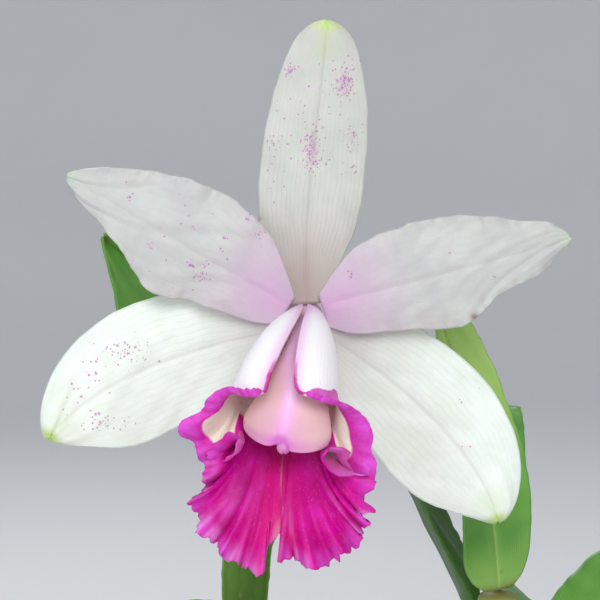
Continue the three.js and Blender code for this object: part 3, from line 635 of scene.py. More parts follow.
# Both halves of the margin run from the notch in the front lobe, through the curl between the lobes, to the
# corner beside the slit: (share of the half, x, y, z)
LEFT_MARGIN = [
    (0, -3.3, -24, -43.9), (0.018, -6.4, -25.5, -45.8), (0.035, -8.6, -27, -49.1), (0.055, -9.2, -30, -53.1),
    (0.078, -13.2, -25.5, -52.9), (0.1, -14.6, -30, -50.4), (0.122, -18, -26, -51),
    (0.142, -18.9, -25, -48.4), (0.165, -21.7, -30, -45.2), (0.185, -23.6, -27, -44.4),
    (0.205, -23.3, -24, -41.7), (0.225, -25.2, -29, -38.2), (0.245, -24.3, -26, -36.9),
    (0.262, -22, -23.5, -36), (0.282, -22.6, -28, -32.4), (0.3, -21.5, -25, -30.5),
    (0.32, -21.5, -28, -27.4), (0.34, -19.3, -29, -25.3), (0.358, -16.4, -31, -22.2),
    (0.375, -14.7, -30.5, -24), (0.39, -15.7, -28, -27.6), (0.41, -20.1, -22, -30.5),
    (0.43, -23, -21, -30.2), (0.455, -23.8, -22, -27.8), (0.475, -24.8, -20.5, -25.6),
    (0.5, -27.5, -23, -23.9), (0.52, -27.5, -25, -21.2), (0.545, -25, -24.5, -19.5),
    (0.57, -22.8, -24, -18.5), (0.6, -21.6, -25.5, -16.1), (0.64, -19.6, -27.5, -13.9),
    (0.7, -16.7, -30, -12.5), (0.78, -13.8, -32.5, -12.7), (0.88, -11, -34, -12.5), (1, -9, -34, -11.7),
]
RIGHT_MARGIN = [
    (0, -3.3, -24, -43.9), (0.018, -5.3, -26.5, -46.5), (0.033, -5.1, -24.5, -49.1),
    (0.05, -5.9, -30, -50.7), (0.068, -3.3, -26, -50.4), (0.085, -1.8, -24.5, -51.4),
    (0.105, 0.2, -29, -51.8), (0.125, 2.7, -31, -52.4), (0.145, 5.4, -25.5, -51.6), (0.165, 8.6, -30, -49.6),
    (0.182, 10.2, -25.5, -48.7), (0.2, 12.5, -30, -46.1), (0.218, 12.2, -25.5, -44.5),
    (0.235, 14, -29, -42.3), (0.25, 12.2, -24.5, -41.2), (0.268, 14.9, -29, -39.5),
    (0.285, 12.8, -24, -38.2), (0.302, 15, -27, -34.6), (0.318, 13.6, -26, -32.4),
    (0.335, 10.6, -29, -32.2), (0.35, 6.4, -31, -31.6), (0.365, 3.7, -31.5, -28.8), (0.38, 5.2, -30.5, -25.9),
    (0.395, 8.7, -28.5, -26.3), (0.41, 10.2, -25, -31.6), (0.428, 12.9, -22, -35.2),
    (0.45, 15.8, -23, -31.6), (0.475, 14.5, -21.5, -27.5), (0.5, 14.9, -22, -24.3),
    (0.535, 13.7, -23.5, -20.8), (0.58, 11.5, -26, -18.2), (0.64, 8.3, -29.5, -16.1),
    (0.74, 5.3, -32.5, -14.8), (0.87, 2.3, -34, -13.4), (1, 0.1, -34, -12.1),
]
# Where the columns of the grid lie: more of them run to the frills and curls of the front lobe
COLUMN_SHARE = [[0, 0], [0.3, 0.19], [0.62, 0.41], [0.8, 0.62], [1, 1]]


def lip_tube(a, t):
    """A point on the tube, a along its axis. Beside the slit the wall turns in, like two pillows."""
    radius = through(LIP_TUBE_RADIUS, a)
    angle = t * (np.pi - np.arcsin(through(LIP_SLIT, a) / radius))
    radius = radius * (1 - 0.17 * smooth(np.abs(t), 0.74, 1.02) * smooth(a, 0.0, 0.2))
    return around(axes(*bezier(LIP_AXIS, a), LIP_FRONT), angle, -radius, radius)


# %% The free margin, and the same without its frills
CALM_STEP = 0.011
CALM_WEIGHTS = [1, 2, 3, 4, 3, 2, 1]


def margin_point(stations, share):
    stations = np.array(stations)
    return np.stack([through(stations[:, [0, k]], share) for k in (1, 2, 3)], 1)


def calm_margin(stations, share):
    """The margin averaged over a short stretch, which takes the frills out and leaves the broad form."""
    near = [margin_point(stations, np.clip(share + CALM_STEP * k, 0, 1)) for k in range(-3, 4)]
    return np.average(near, axis=0, weights=CALM_WEIGHTS)


def on_margin(rule, t):
    """The point that a rule gives for t, on the half of the margin that t lies on."""
    away = np.abs(t)
    return np.where((t < 0)[:, None], rule(LEFT_MARGIN, away), rule(RIGHT_MARGIN, away))


def side_share(away):
    """0 on the front lobe and 1 on the side lobes."""
    return smooth(away, 0.33, 0.46)


# %% The flare and its ruffles
def ruffles(column, away, flare):
    """How far folds and frills lift the flare, in mm."""
    front_lobe = 1 - side_share(away)
    drift = 0.9 * flare * wander(column * 4, 41, 2)
    broad = 1.7 * wander(column * 3 + drift, 21, 2) * flare**1.5
    broad = broad + 1.1 * wander(column * 6.5 + drift, 4, 2) * flare**4
    lumps = wander(column * 2.2 + flare * 0.9, 9, 2) * wander(column * 2.8 - flare * 1.2, 14, 2)
    dome = 1.6 * np.sin(np.pi * np.clip(away / 0.26, 0, 1))
    broad = broad + (1.2 * lumps + dome) * np.sin(np.pi * flare)
    curl = hump(away - 0.4, 0.05)
    frills = (0.5 + 0.4 * front_lobe + 0.6 * curl) * wander(column * 17 + drift, 33, 3) * flare**5
    frills = frills + (0.2 + 0.5 * front_lobe) * wander(column * 31, 17, 3) * flare**9
    return broad * front_lobe + frills * smooth(away, 1.0, 0.85)


def lip_points(s, column):
    """Carries (s along, column across) of the grid to the lip. Also gives what the finish needs to know."""
    away = through(COLUMN_SHARE, np.abs(column))
    t = np.sign(column) * away
    tube_end = 1 - 0.2 * smooth(away, 0.3, 0.6)
    tube = lip_tube(np.minimum(s / LIP_TUBE_SHARE, 1) * tube_end, t)
    flare = np.clip((s - LIP_TUBE_SHARE) / (1 - LIP_TUBE_SHARE), 0, 1)
    flare = flare * (1 - 0.4 * smooth(away, 0.9, 1.02) ** 2)
    start = lip_tube(tube_end, t)
    heading = unit(start - lip_tube(tube_end - 0.05, t))
    calm = on_margin(calm_margin, t)
    outward = unit(calm - LIP_FOCUS)
    ragged = 0.6 * wander(column * 19, 12) + 0.4 * wander(column * 41, 5) + 0.3 * wander(column * 83, 15)
    ragged = ragged * (1 - 0.8 * smooth(away, 0.4, 0.48)) * smooth(away, 1.0, 0.9)
    frilled = on_margin(margin_point, t) + outward * ragged[:, None]
    gap = np.linalg.norm(calm - start, axis=1)
    reach = (gap * (0.35 + 0.3 * smooth(away, 0.5, 0.8)))[:, None]
    veined, _ = bezier([start, start + heading * reach, calm - outward * reach, calm], flare)
    veined = veined + (frilled - calm) * (flare ** (5.5 - 3.7 * side_share(away)))[:, None]
    ruffle = ruffles(column, away, flare)
    crease = hump(away, 0.014) * smooth(flare, 0.0, 0.2) * smooth(flare, 1.0, 0.7)
    lift = unit(np.array([0.0, -1.0, 0.0]) + outward * outward[:, 1:2])
    flared = veined + lift * (ruffle - crease)[:, None]
    points = np.where((flare > 0)[:, None], flared, tube)
    return points, t, flare, np.linalg.norm(calm - veined, axis=1), ruffle


# %% [markdown]
# ## Finishes of the lip
# Both faces of the sheet differ. Outside, the tube is white with a lilac flush along its top and its slit.
# Inside, the throat is cream, and the rim and the front lobe are deep magenta, brighter along their folds
# and violet at the frill. A painted highlight, almost silver, lies on the crests of the folds near the
# margin, and small pale dots are painted glints on the magenta. The mesh marks where the magenta lies, and
# the nodes break its border up.

# %% Lip finishes
def lip_finish(name, body, flush, most):
    """One face of the lip. most is how far the magenta can cover the body."""
    material, tree, shader, place, uv = new_material(
        name, Subsurface_Weight=0.12, Subsurface_Scale=0.002, Specular_IOR_Level=0.2
    )
    sugar = use(tree, grain, Vector=place, Scale=2400.0)
    sheet = use(tree, margin, UV=uv)
    lines = use(tree, veins, UV=uv, Count=120.0, Waver=3.0)
    colour = mix(tree, "slit_flush", body, flush)
    colour = mix(tree, scaled(tree, lines["Line"], 0.06), colour, flush)
    folds = noise(tree, stretched(tree, uv, 24.0, 9.0, 1.0), 1.0, 3.0, 0.5)
    deep = ramp(tree, folds, [(0.3, (184, 2, 128)), (0.5, (202, 4, 146)), (0.7, (218, 14, 176))])
    blotch = noise(tree, place, 420.0)
    deep = mix(tree, between(tree, blotch, 0.45, 0.75, 0.0, 0.5), deep, (200, 8, 128))
    deep = mix(tree, between(tree, sheet["Edge"], 0.0, 0.3, 0.8, 0.0), deep, (216, 30, 128))
    # Painted glints: small pale dots that stand for the sparkle of light on the magenta.
    painted_glints = use(tree, specks, Vector=place, Scale=1600.0, Density=0.6, Size=0.3)
    deep = mix(tree, scaled(tree, painted_glints["Mask"], 0.22), deep, (238, 110, 206))
    frill = scaled(tree, attribute(tree, "frill"), between(tree, blotch, 0.3, 0.6, 0.5, 0.95))
    deep = mix(tree, frill, deep, (230, 92, 224))
    # Painted highlight: a pale silver sheen on the raised crests of the ruffles.
    painted_shine = scaled(tree, attribute(tree, "crest"), between(tree, folds, 0.35, 0.65, 0.35, 0.9))
    deep = mix(tree, painted_shine, deep, (236, 158, 236))
    ragged = maths(tree, "ADD", attribute(tree, "magenta"), scaled(tree, folds, 0.6, -0.3))
    colour = mix(tree, between(tree, ragged, 0.3, 0.75, 0.0, most), colour, deep)
    colour = mix(tree, "keel", colour, (240, 178, 196))
    height = scaled(tree, folds, 0.9, scaled(tree, lines["Height"], 0.3, sugar["Height"]))
    finish(tree, shader, colour, height, 0.09, scaled(tree, sugar["Height"], 0.2, 0.3))
    return material


LIP_OUTSIDE = lip_finish("lip_outside", (252, 248, 252), (238, 190, 232), 0.9)
LIP_INSIDE = lip_finish("lip_inside", (240, 230, 212), (244, 214, 224), 1.0)

# %% Make the lip
lip, s, column = start_grid("lip", 124, 340)
points, t, flare, to_margin, ruffle = lip_points(s, column)
away = np.abs(t)
side_lobe = smooth(away, 0.395, 0.42)
rim_width = 4.2 - 1.2 * smooth(away, 0.6, 0.7) - 1.9 * smooth(away, 0.8, 1)
rim_width = rim_width + 1.6 * (t > 0) * smooth(away, 0.8, 0.6)
rim = smooth(to_margin / rim_width, 1.25, 0.75) * (flare > 0)
slit_line = 0.75 * smooth(away, 0.95, 0.985) * smooth(s, 0.3, 0.5)
near_edge = smooth(to_margin, 5.0, 0.2) * (flare > 0)
frill = near_edge * (0.55 + 0.5 * wander(column * 14, 3)).clip(0, 1) + 0.35 * smooth(away, 0.41, 0.46) * rim
along_slit = smooth(away, 0.88, 1.0) * 0.8 + smooth(s, 0.24, 0.02) * 0.8
keels = hump(away - 0.009, 0.0035) * smooth(flare, 0.02, 0.1) * smooth(flare, 0.75, 0.5)
patch = 0.45 * hump(t + 0.012, 0.014) * smooth(flare, 0.82, 0.97)
mark(lip, magenta=(1 - side_lobe) * smooth(flare, 0.0, 0.2) + side_lobe * np.maximum(rim, slit_line),
     frill=frill.clip(0, 1),
     # painted highlight on the crests of the ruffles, near the margin and on the high folds
     crest=near_edge * smooth(ruffle, 0.2, 2.0) + 0.3 * smooth(ruffle, 0.8, 3.0) * (flare > 0),
     slit_flush=along_slit.clip(0, 1) * (flare < 0.7),
     keel=(0.7 * keels + patch).clip(0, 1))
carry(lip, points + BLOOM)
lip.data.materials.append(LIP_OUTSIDE)
lip.data.materials.append(LIP_INSIDE)
thicken(lip, LIP_THICKNESS, 1 - 0.5 * smooth(flare, 0.5, 1), material_offset=1, material_offset_rim=1)
print("outside and inside faces:", np.bincount([face.material_index for face in lip.data.polygons]))
dress(lip, "lip", [], "lip")

# %% [markdown]
# ## The column and its cap
# The column is the fused middle of the bloom. It leaves the centre as a narrow neck and ends in a broad
# hood, peach at its flanks, with a bright pink ridge down its middle and a violet band along its lower
# edge. The pink is also spread broad over the middle and up the neck as painted light, where they lie
# in shade. Under the edge sits the cap, in a shallow hollow. The roll runs over the edge and up into the
# hollow.

# %% Column finish
def column_finish(name):
    material, tree, shader, place, _ = new_material(
        name, Subsurface_Weight=0.2, Subsurface_Scale=0.002, Sheen_Weight=0.1
    )
    sugar = use(tree, grain, Vector=place, Scale=2400.0)
    colour = mix(tree, sugar["Mottle"], (224, 186, 186), (222, 180, 172))
    # The ridge mark is the real pink ridge and also painted light on the middle and the neck.
    colour = mix(tree, "ridge", colour, (255, 202, 246))
    colour = mix(tree, "band", colour, (212, 112, 200))
    finish(tree, shader, colour, sugar["Height"], 0.05, scaled(tree, sugar["Height"], 0.2, 0.28))
    return material


# %% Make the column
COLUMN_CURVE = [(0, -1.7, 0), (-0.3, -15, 0), (-1.4, -25, -10), (-4.7, -25.5, -25.6)]
COLUMN_HALF_WIDTH = [[0, 1.9], [0.3, 2.8], [0.5, 4.1], [0.65, 6], [0.78, 8], [0.9, 9.5], [0.97, 10],
                     [1, 9.8]]
# The share of the rows that runs along the column. The rest closes its end.
COLUMN_ROWS_ALONG = 0.86
column, s, t = start_grid("column", 120, 96)
u = np.clip(s / COLUMN_ROWS_ALONG, 0, 1)
end = np.clip((s - COLUMN_ROWS_ALONG) / (1 - COLUMN_ROWS_ALONG), 0, 1)
point, along = bezier(COLUMN_CURVE, u)
angle = t * np.pi
front = np.cos(angle) > 0
half = through(COLUMN_HALF_WIDTH, u)
depth = half * np.where(front, 0.5 - 0.12 * smooth(u, 0.7, 1), 0.25)
girth = half * depth / np.hypot(depth * np.sin(angle), half * np.cos(angle))
across = np.sin(angle) * girth
ridge = hump(across, 1.1) * front
girth = girth + 0.5 * ridge * smooth(u, 0.2, 0.6)
girth = girth * np.clip(s / 0.01, 0, 1) * np.sqrt(1 - end**1.5)
hollow = 0.9 * np.sin(np.pi * np.clip(end / 0.4, 0, 1)) - 3.4 * smooth(end, 0.3, 1)
rounded = 2.4 * smooth(u, 0.78, 1) * (np.abs(across) / 9.8) ** 3.4
notch = 1.1 * smooth(u, 0.9, 1) * hump(across, 1.7) * front
edge = hollow - (rounded + notch) * (1 - smooth(end, 0.2, 0.9))
# Painted light: the pink of the ridge spread broad over the middle and up the neck, where they lie in shade.
painted_light = 0.85 * hump(across, 3.0) + 1.2 * smooth(u, 0.8, 0.45)
lower = smooth(u, 0.76, 0.98) * 0.4 * hump(across, 6.5)
mark(column, ridge=(ridge * (0.9 - 0.5 * smooth(u, 0.9, 1)) + painted_light * front * 0.65).clip(0, 1),
     band=(lower + smooth(u, 0.95, 1.0) * (0.3 + 0.4 * hump(across, 3))).clip(0, 1))
points = around(axes(point, along, LIP_FRONT), angle, girth, girth)
carry(column, points + along * edge[:, None] + BLOOM)
close_roll(column)
dress(column, "column", [column_finish("column_tissue")], "column")

# %% Make the cap
CAP_HALF_SIZE = np.array([1.5, 1.9, 1.5])
CAP_PLACE = BLOOM + np.array([-4.7, -28.4, -25.9])
bpy.ops.mesh.primitive_uv_sphere_add(segments=40, ring_count=24, radius=1)
cap = named("anther_cap")
ball = corners(cap)
cleft = hump(ball[:, 0], 0.16) * smooth(-ball[:, 2], -0.6, 0.6)
ball = ball * (1 - 0.18 * cleft)[:, None]
mark(cap, ridge=0.4 * smooth(ball[:, 2], -0.2, 0.8), band=0.8 + 0.2 * ball[:, 0])
carry(cap, ball * CAP_HALF_SIZE + CAP_PLACE)
bpy.ops.object.shade_smooth()
dress(cap, "cap", [column_finish("cap_tissue")], "anther_cap")

# %% [markdown]
# ## Green tissue
# Leaves, stalks, bulbs and the fold of the flower stem share one recipe: two greens that drift into each
# other, long fine veins, a paler midrib or margin, and small brown or pale specks of age. The wax on them
# gives a soft gloss. Each kind sets its own greens and depths. The upper half of one leaf is painted paler,
# as painted sunlight, and one leaf at the back is painted darker, as painted shade.

# %% Leaf, stem and bulb finishes
def green_tissue(name, light, dark, aged, vein_count, vein_depth, rough, coat, speck_share):
    material, tree, shader, place, uv = new_material(name, Coat_Weight=coat, Coat_Roughness=0.3)
    lines = use(tree, veins, UV=uv, Count=vein_count, Waver=1.2)
    skin = use(tree, grain, Vector=place, Scale=1500.0)
    sheet = use(tree, margin, UV=uv)
    slow = noise(tree, place, 26.0, 3.0, 0.6)
    colour = mix(tree, between(tree, slow, 0.35, 0.68), light, dark)
    colour = mix(tree, scaled(tree, lines["Line"], 0.22), colour, dark)
    # The pale mark is a real paler midrib, foot or top, and on one leaf also painted sunlight.
    colour = mix(tree, "pale", colour, (184, 218, 122))
    colour = mix(tree, "shady", colour, (36, 62, 18))
    colour = mix(tree, "aged", colour, aged)
    colour = mix(tree, "blush", colour, (236, 200, 220))
    dots = use(tree, specks, Vector=place, Scale=330.0, Density=speck_share, Size=0.2)
    colour = mix(tree, scaled(tree, dots["Mask"], 0.45), colour, aged)
    colour = mix(tree, between(tree, sheet["Edge"], 0.965, 1.0, 0.0, 0.3), colour, light)
    gloss = scaled(tree, attribute(tree, "shady"), -0.4, 0.32)
    tree.links.new(gloss, shader.inputs["Specular IOR Level"])
    height = scaled(tree, lines["Height"], vein_depth, skin["Height"])
    finish(tree, shader, colour, height, 0.05, scaled(tree, skin["Mottle"], 0.16, rough))
    return material


LEAF_FINISH = green_tissue("leaf_skin", (116, 174, 76), (72, 134, 50), (134, 112, 62),
                           34.0, 0.5, 0.32, 0.12, 0.05)
STEM_FINISH = green_tissue("stem_skin", (86, 130, 30), (48, 88, 12), (132, 100, 72),
                           9.0, 1.0, 0.38, 0.08, 0.14)
BULB_FINISH = green_tissue("bulb_skin", (136, 160, 76), (94, 126, 52), (122, 98, 58),
                           14.0, 1.6, 0.42, 0.1, 0.12)
print("green finishes:", LEAF_FINISH.name, STEM_FINISH.name, BULB_FINISH.name)

# %% [markdown]
# ## Bulbs
# Each bulb is a cane that swells above its middle. It has ring-shaped joints where scales once sat, and
# long furrows between them from dry spells. A cylinder would do for the start, but a rolled grid gives the
# skin a map that runs along the cane.

# %% The six bulbs
RHIZOME_HEIGHT = 98.0
BULB_FOOT_HEIGHT = 102.5
BULB_GIRTH = [[0, 0.5], [0.12, 0.62], [0.35, 0.88], [0.62, 1], [0.85, 0.9], [1, 0.66]]
BULB_JOINTS = 5
# Name, foot across the pot, top, largest radius and the least radius of its neck
BULBS = [
    ("flowering", (-24, -8), (-23, -12, 245), 7.6, 7),
    ("right", (11, 8), (42, 6, 256), 7.8, 5),
    ("back_right", (29, 27), (46, 38, 226), 7.2, 4.8),
    ("outer_right", (42, 3), (56, 22, 210), 7.2, 4.8),
    ("back", (-15, 22), (-18, 52, 213), 7, 4.8),
    ("back_left", (-39, 17), (-50, 34, 178), 6.4, 4.4),
]


def bulb_curve(k):
    _, foot, top, *_ = BULBS[k]
    foot, top = np.array([*foot, BULB_FOOT_HEIGHT], float), np.array(top, float)
    rise = np.array([0, 0, top[2] - foot[2]])
    return curve_of(foot, foot + 0.35 * rise, top - 0.3 * rise, top)


def bulb_skin(k):
    """The radius of a bulb with its joints, collars, furrows and ribs."""
    *_, largest, neck = BULBS[k]

    def radius(u, angle):
        joint = np.abs(np.cos(np.pi * BULB_JOINTS * u))
        girth = through(BULB_GIRTH, u) * largest * (1 - 0.07 * joint**16)
        girth = np.where(u > 0.9, np.maximum(girth, neck), girth)
        collar = 0.028 * hump(joint - 0.985, 0.006)
        furrow = 0.014 * np.cos(13 * angle + 2 * wander(u * 2, k)) + 0.008 * np.cos(29 * angle + 5 * u)
        ribs = 0.035 * np.cos(4 * angle) - 0.02 * (1 - joint**8) + furrow * (1 - joint**10)
        return girth * (1 + ribs + collar)

    return radius


for k, (label, _, top, *_) in enumerate(BULBS):
    name = "pseudobulb_" + label
    bulb = roll(name, 150, 80, bulb_curve(k), FRONT, bulb_skin(k), (0.012, 0.012))
    share = (corners(bulb)[:, 2] / MM - BULB_FOOT_HEIGHT) / (top[2] - BULB_FOOT_HEIGHT)
    joint = np.abs(np.cos(np.pi * BULB_JOINTS * share)) ** 40
    mark(bulb, aged=(0.75 * joint + 0.55 * smooth(share, 0.12, 0.0)).clip(0, 1),
         pale=0.35 * smooth(share, 0.75, 1.0) * (1 - joint))
    dress(bulb, "bulb", [BULB_FINISH], name)

# %% [markdown]
# ## Leaves
# The leaves are stiff and leathery, folded a little along a sunken midrib, with a keel behind it. They come
# from the top of a bulb, two by two. The grid is bent as the CAD leaf is, then buckled slightly, and its
# margin is thinner than its middle.

# %% Shapes of the leaves
LEAF_WIDTH = [[0, 3], [0.1, 6.5], [0.28, 14.5], [0.48, 19], [0.62, 18.6], [0.78, 14], [0.9, 8], [0.97, 3.6],
              [1, 1.2]]
FOLDED_BASE = [[0, 2.6], [0.2, 4.2], [0.42, 9.5], [0.62, 17.5], [0.78, 15.5], [0.9, 9], [0.97, 4], [1, 1.2]]
LATE_FLARE = [[0, 2.6], [0.2, 4.4], [0.34, 4.6], [0.46, 4.8], [0.56, 7.6], [0.68, 13.5], [0.8, 14.5],
              [0.9, 9], [0.97, 4], [1, 1.2]]
BROAD_BASE = [[0, 4.4], [0.04, 8], [0.12, 10.6], [0.35, 11], [0.55, 9.4], [0.75, 6.4], [0.9, 3.6], [1, 1.2]]
LEAF = {"fold": 3, "cup": 1, "fray": 0.012, "billow": 0.5, "groove": 0.5, "crisp": 0.3}
LEAF_THICKNESS = 1.3
LEAF_SEAT = 0.7
# Name, bulb, offset of the base, three rib points, where it faces at base and tip, widening, widths
LEAVES = [
    ("flowering_left", 0, (1, 2.7), [(-18, -9, 276), (-28, 0, 326), (-59, 4, 346)],
     [(0, -1, 0), (0.3, -1, 0.3)], 1, (LATE_FLARE, FOLDED_BASE)),
    ("flowering_back", 0, (-1, 5.2), [(-24, 0, 275), (-8, 24, 306), (-20, 28, 338)],
     [(0, -1, 0), (0, -1, 0.4)], 1, (FOLDED_BASE, FOLDED_BASE)),
    ("right_wide", 1, (-0.5, -2.4), [(41, 2, 282), (31, -6, 316), (20, -4, 340)],
     [(0.5, -0.8, 0), (0.6, -0.8, 0.1)], 1, (BROAD_BASE, BROAD_BASE)),
    ("right_recurved", 1, (0.5, 2.6), [(40.5, 24, 284), (36.5, 60, 318), (45.5, 68, 285)],
     [(0.3, -1, 0.3), (0.4, -0.4, 1)], 0.62, (LEAF_WIDTH, LEAF_WIDTH)),
    ("back_right_narrow", 2, (-2, -1), [(39, 36, 244), (21, 32, 276), (0, 36, 318)],
     [(1, -0.15, 0.4), (1, -0.15, 0.45)], 0.75, (LEAF_WIDTH, LEAF_WIDTH)),
    ("back_right_low", 2, (2.4, 1), [(48, 43, 242), (62, 76, 239), (72, 108, 221)],
     [(1, -0.4, 0.2), (0, 0, 1)], 0.95, (LEAF_WIDTH, LEAF_WIDTH)),
    ("outer_right", 3, (1.2, 2), [(60, 25, 230), (84, 38, 254), (114, 52, 270)],
     [(-0.6, -0.9, 0.3), (-0.5, -0.5, 1)], 0.9, (LEAF_WIDTH, LEAF_WIDTH)),
    ("outer_right_low", 3, (0, -2.6), [(57, 16, 230), (74, -22, 250), (98, -46, 232)],
     [(-0.2, -1, 0.3), (0, 0, 1)], 0.9, (LEAF_WIDTH, LEAF_WIDTH)),
    ("back_upright", 4, (1, 2.4), [(-22, 59, 238), (-29, 84, 262), (-22, 98, 292)],
     [(0, -1, 0), (0, -1, 0.6)], 0.83, (LATE_FLARE, LATE_FLARE)),
    ("back_left", 4, (-1, -2), [(-20.5, 48, 228), (-52, 49, 234), (-88, 66, 212)],
     [(0, -1, 0.2), (0, 0, 1)], 0.95, (LEAF_WIDTH, LEAF_WIDTH)),
    ("outer_left", 5, (0, 0), [(-53, 33, 204), (-80, 20, 236), (-116, 8, 232)],
     [(0.3, -0.4, 1), (0.2, 0, 1)], 0.9, (LEAF_WIDTH, LEAF_WIDTH)),
]

# %% Make the leaves
for number, (label, k, (x, y), rib, facing, widen, (left, right)) in enumerate(LEAVES):
    name = "leaf_" + label
    top = BULBS[k][2]
    base = (top[0] + x, top[1] + y, top[2] + LEAF_SEAT)
    shape = {"rib": [base, *rib], "facing": facing, "widen": widen, "left": left, "right": right, **LEAF}
    leaf, s, t = start_grid(name, 96, 28)
    s = toward_tip(s)
    carry(leaf, blade(shape, s, t))
    shaded = label == "back_right_narrow"
    # Painted light: the upper part of the right_wide leaf is painted paler, as if sunlit.
    sunlit = 0.85 * smooth(s, 0.35, 0.7) * (label == "right_wide")
    rib_and_foot = 0.4 * hump(t, 0.05) + 0.4 * smooth(s, 0.2, 0.0)
    tip_wear = smooth(s, 0.97 - 0.015 * (number % 3), 1.0) * (0.4 + 0.6 * (number % 2))
    mark(leaf, pale=(rib_and_foot * (not shaded) + sunlit).clip(0, 1), shady=0.65 * shaded,
         aged=(tip_wear + 0.6 * smooth(s, 0.035, 0.0)).clip(0, 1))
    thicken(leaf, LEAF_THICKNESS, 1 - 0.55 * t**2)
    dress(leaf, "leaf", [LEAF_FINISH], name)

# %% [markdown]
# ## Stalks of the bloom
# The flower stem rises out of a flat green fold on top of the youngest bulb. A small scale marks the joint
# where the ridged stalk of the bloom leaves it, and that stalk bends forward to the centre of the bloom,
# where it ends in a short stub that the column stands on.

# %% Flower stem
PEDUNCLE_TOP = BLOOM + np.array([-10, 30, -35])
stem_curve = curve_of((-23, -13.4, 245.5), (-23, -13.4, 265), (-22, -13, 281), PEDUNCLE_TOP)


def stem_radius(u, angle):
    joint = np.cos(2 * np.pi * u) ** 20
    return 1.7 * (1 + 0.25 * joint + 0.03 * np.cos(7 * angle + 3 * u))


peduncle = roll("peduncle", 90, 40, stem_curve, FRONT, stem_radius)
height = corners(peduncle)[:, 2] / MM
mark(peduncle, aged=0.4 * smooth(height, 291, 295), pale=0.3 * smooth(height, 262, 250))
dress(peduncle, "stem", [STEM_FINISH], "peduncle")

# %% Stalk of the bloom and its stub
OVARY_GIRTH = [[0, 4.6], [0.06, 3], [0.15, 2.3], [0.4, 2.1], [0.75, 1.5], [1, 1.5]]
OVARY_CURVE = [(0, 1.5, 0), (0, 20, 0), (-8, 30, -2), (-10, 30, -34.6)]
STUB_CURVE = [(0, -1.3, 0), (0, 0, 0), (0, 2, 0), (0, 3.7, 0)]
STUB_RADIUS = 2.1


def ovary_radius(u, angle):
    return through(OVARY_GIRTH, u) * (1 + 0.08 * np.cos(3 * angle) + 0.03 * np.cos(6 * angle))


ovary = roll("ovary", 130, 48, curve_of(*(BLOOM + OVARY_CURVE)), UP, ovary_radius, (0.008, 0.008))
stub = roll("stub", 20, 32, curve_of(*(BLOOM + STUB_CURVE)), UP, lambda u, angle: STUB_RADIUS, (0.12, 0.12))
join(ovary, stub)
behind = corners(ovary)[:, 1] / MM - BLOOM[1]
mark(ovary, aged=0.35 * smooth(behind, 26, 8), pale=0.5 * smooth(behind, 12, 5), blush=smooth(behind, 5.5, 3))
dress(ovary, "stem", [STEM_FINISH], "ovary")

# %% The green fold and the scale
SPATHE_WIDTH = [[0, 3], [0.25, 5.2], [0.6, 5.8], [0.85, 4.8], [1, 3.2]]
SPATHE_DEPTH = [[0, 2.5], [0.3, 2.8], [1, 2.4]]
BRACT_WIDTH = [[0, 1.6], [0.3, 2.4], [0.7, 1.6], [1, 0.7]]
BRACT = {"rib": [(-18.2, -14.4, 291), (-18.4, -14.6, 295), (-18.8, -15.4, 298), (-19.2, -16.4, 302)],
         "left": BRACT_WIDTH, "right": BRACT_WIDTH, "fray": 0.04}
spathe, s, t = start_grid("spathe", 90, 60)
ragged = s * (1 - 0.05 * np.abs(t) ** 2 * smooth(s, 0.6, 1) * (1 + wander(t * 5, 2)))
deep = through(SPATHE_DEPTH, s) + 0.12 * wander(t * 3 + s, 6)
wide = through(SPATHE_WIDTH, s) + 0.2 * wander(s * 3, 7)
section = axes(*stem_curve(0.02 + 0.82 * ragged), FRONT)
carry(spathe, around(section, t * (np.pi - 0.3 - 0.3 * s), deep, wide))
mark(spathe, aged=(0.9 * smooth(s, 0.84, 1.0) + 0.25 * smooth(s, 0.05, 0)).clip(0, 1),
     pale=0.25 * hump(np.abs(t) - 0.5, 0.06) + 0.3 * smooth(s, 0.3, 0.0))
thicken(spathe, 0.7, 1 - 0.4 * s)
dress(spathe, "stem", [STEM_FINISH], "spathe")

bract, s, t = start_grid("bract", 30, 16)
carry(bract, blade(BRACT, s, t))
mark(bract, aged=0.3 + 0.6 * smooth(s, 0.3, 1), pale=0.3 * smooth(np.abs(t), 0.5, 1))
thicken(bract, 0.6, 1 - 0.5 * s)
dress(bract, "stem", [STEM_FINISH], "bract")

# %% [markdown]
# ## Papery sheaths
# Old scales stay round the lower part of a bulb as dry, fibrous paper, split down one side and torn at the
# top. A sheet is wrapped round the cane just clear of its skin, its upper edge pulled into points.

# %% Sheath finish
def paper_finish():
    material, tree, shader, place, uv = new_material("dry_sheath", Sheen_Weight=0.2, Specular_IOR_Level=0.3)
    fibres = use(tree, veins, UV=uv, Count=60.0, Waver=5.0)
    streaks = noise(tree, stretched(tree, uv, 40.0, 2.5, 1.0), 1.0, 5.0, 0.65)
    colour = ramp(tree, streaks, [(0.25, (128, 104, 72)), (0.5, (196, 178, 144)), (0.78, (224, 213, 188))])
    colour = mix(tree, scaled(tree, fibres["Line"], 0.35), colour, (112, 88, 60))
    stain = between(tree, noise(tree, place, 70.0, 4.0, 0.65), 0.55, 0.72, 0.0, 0.6)
    colour = mix(tree, stain, colour, (92, 70, 50))
    colour = mix(tree, "aged", colour, (104, 78, 54))
    height = scaled(tree, streaks, 2.0, fibres["Height"])
    finish(tree, shader, colour, height, 0.2, between(tree, streaks, 0.2, 0.8, 0.65, 0.9))
    return material


PAPER_FINISH = paper_finish()

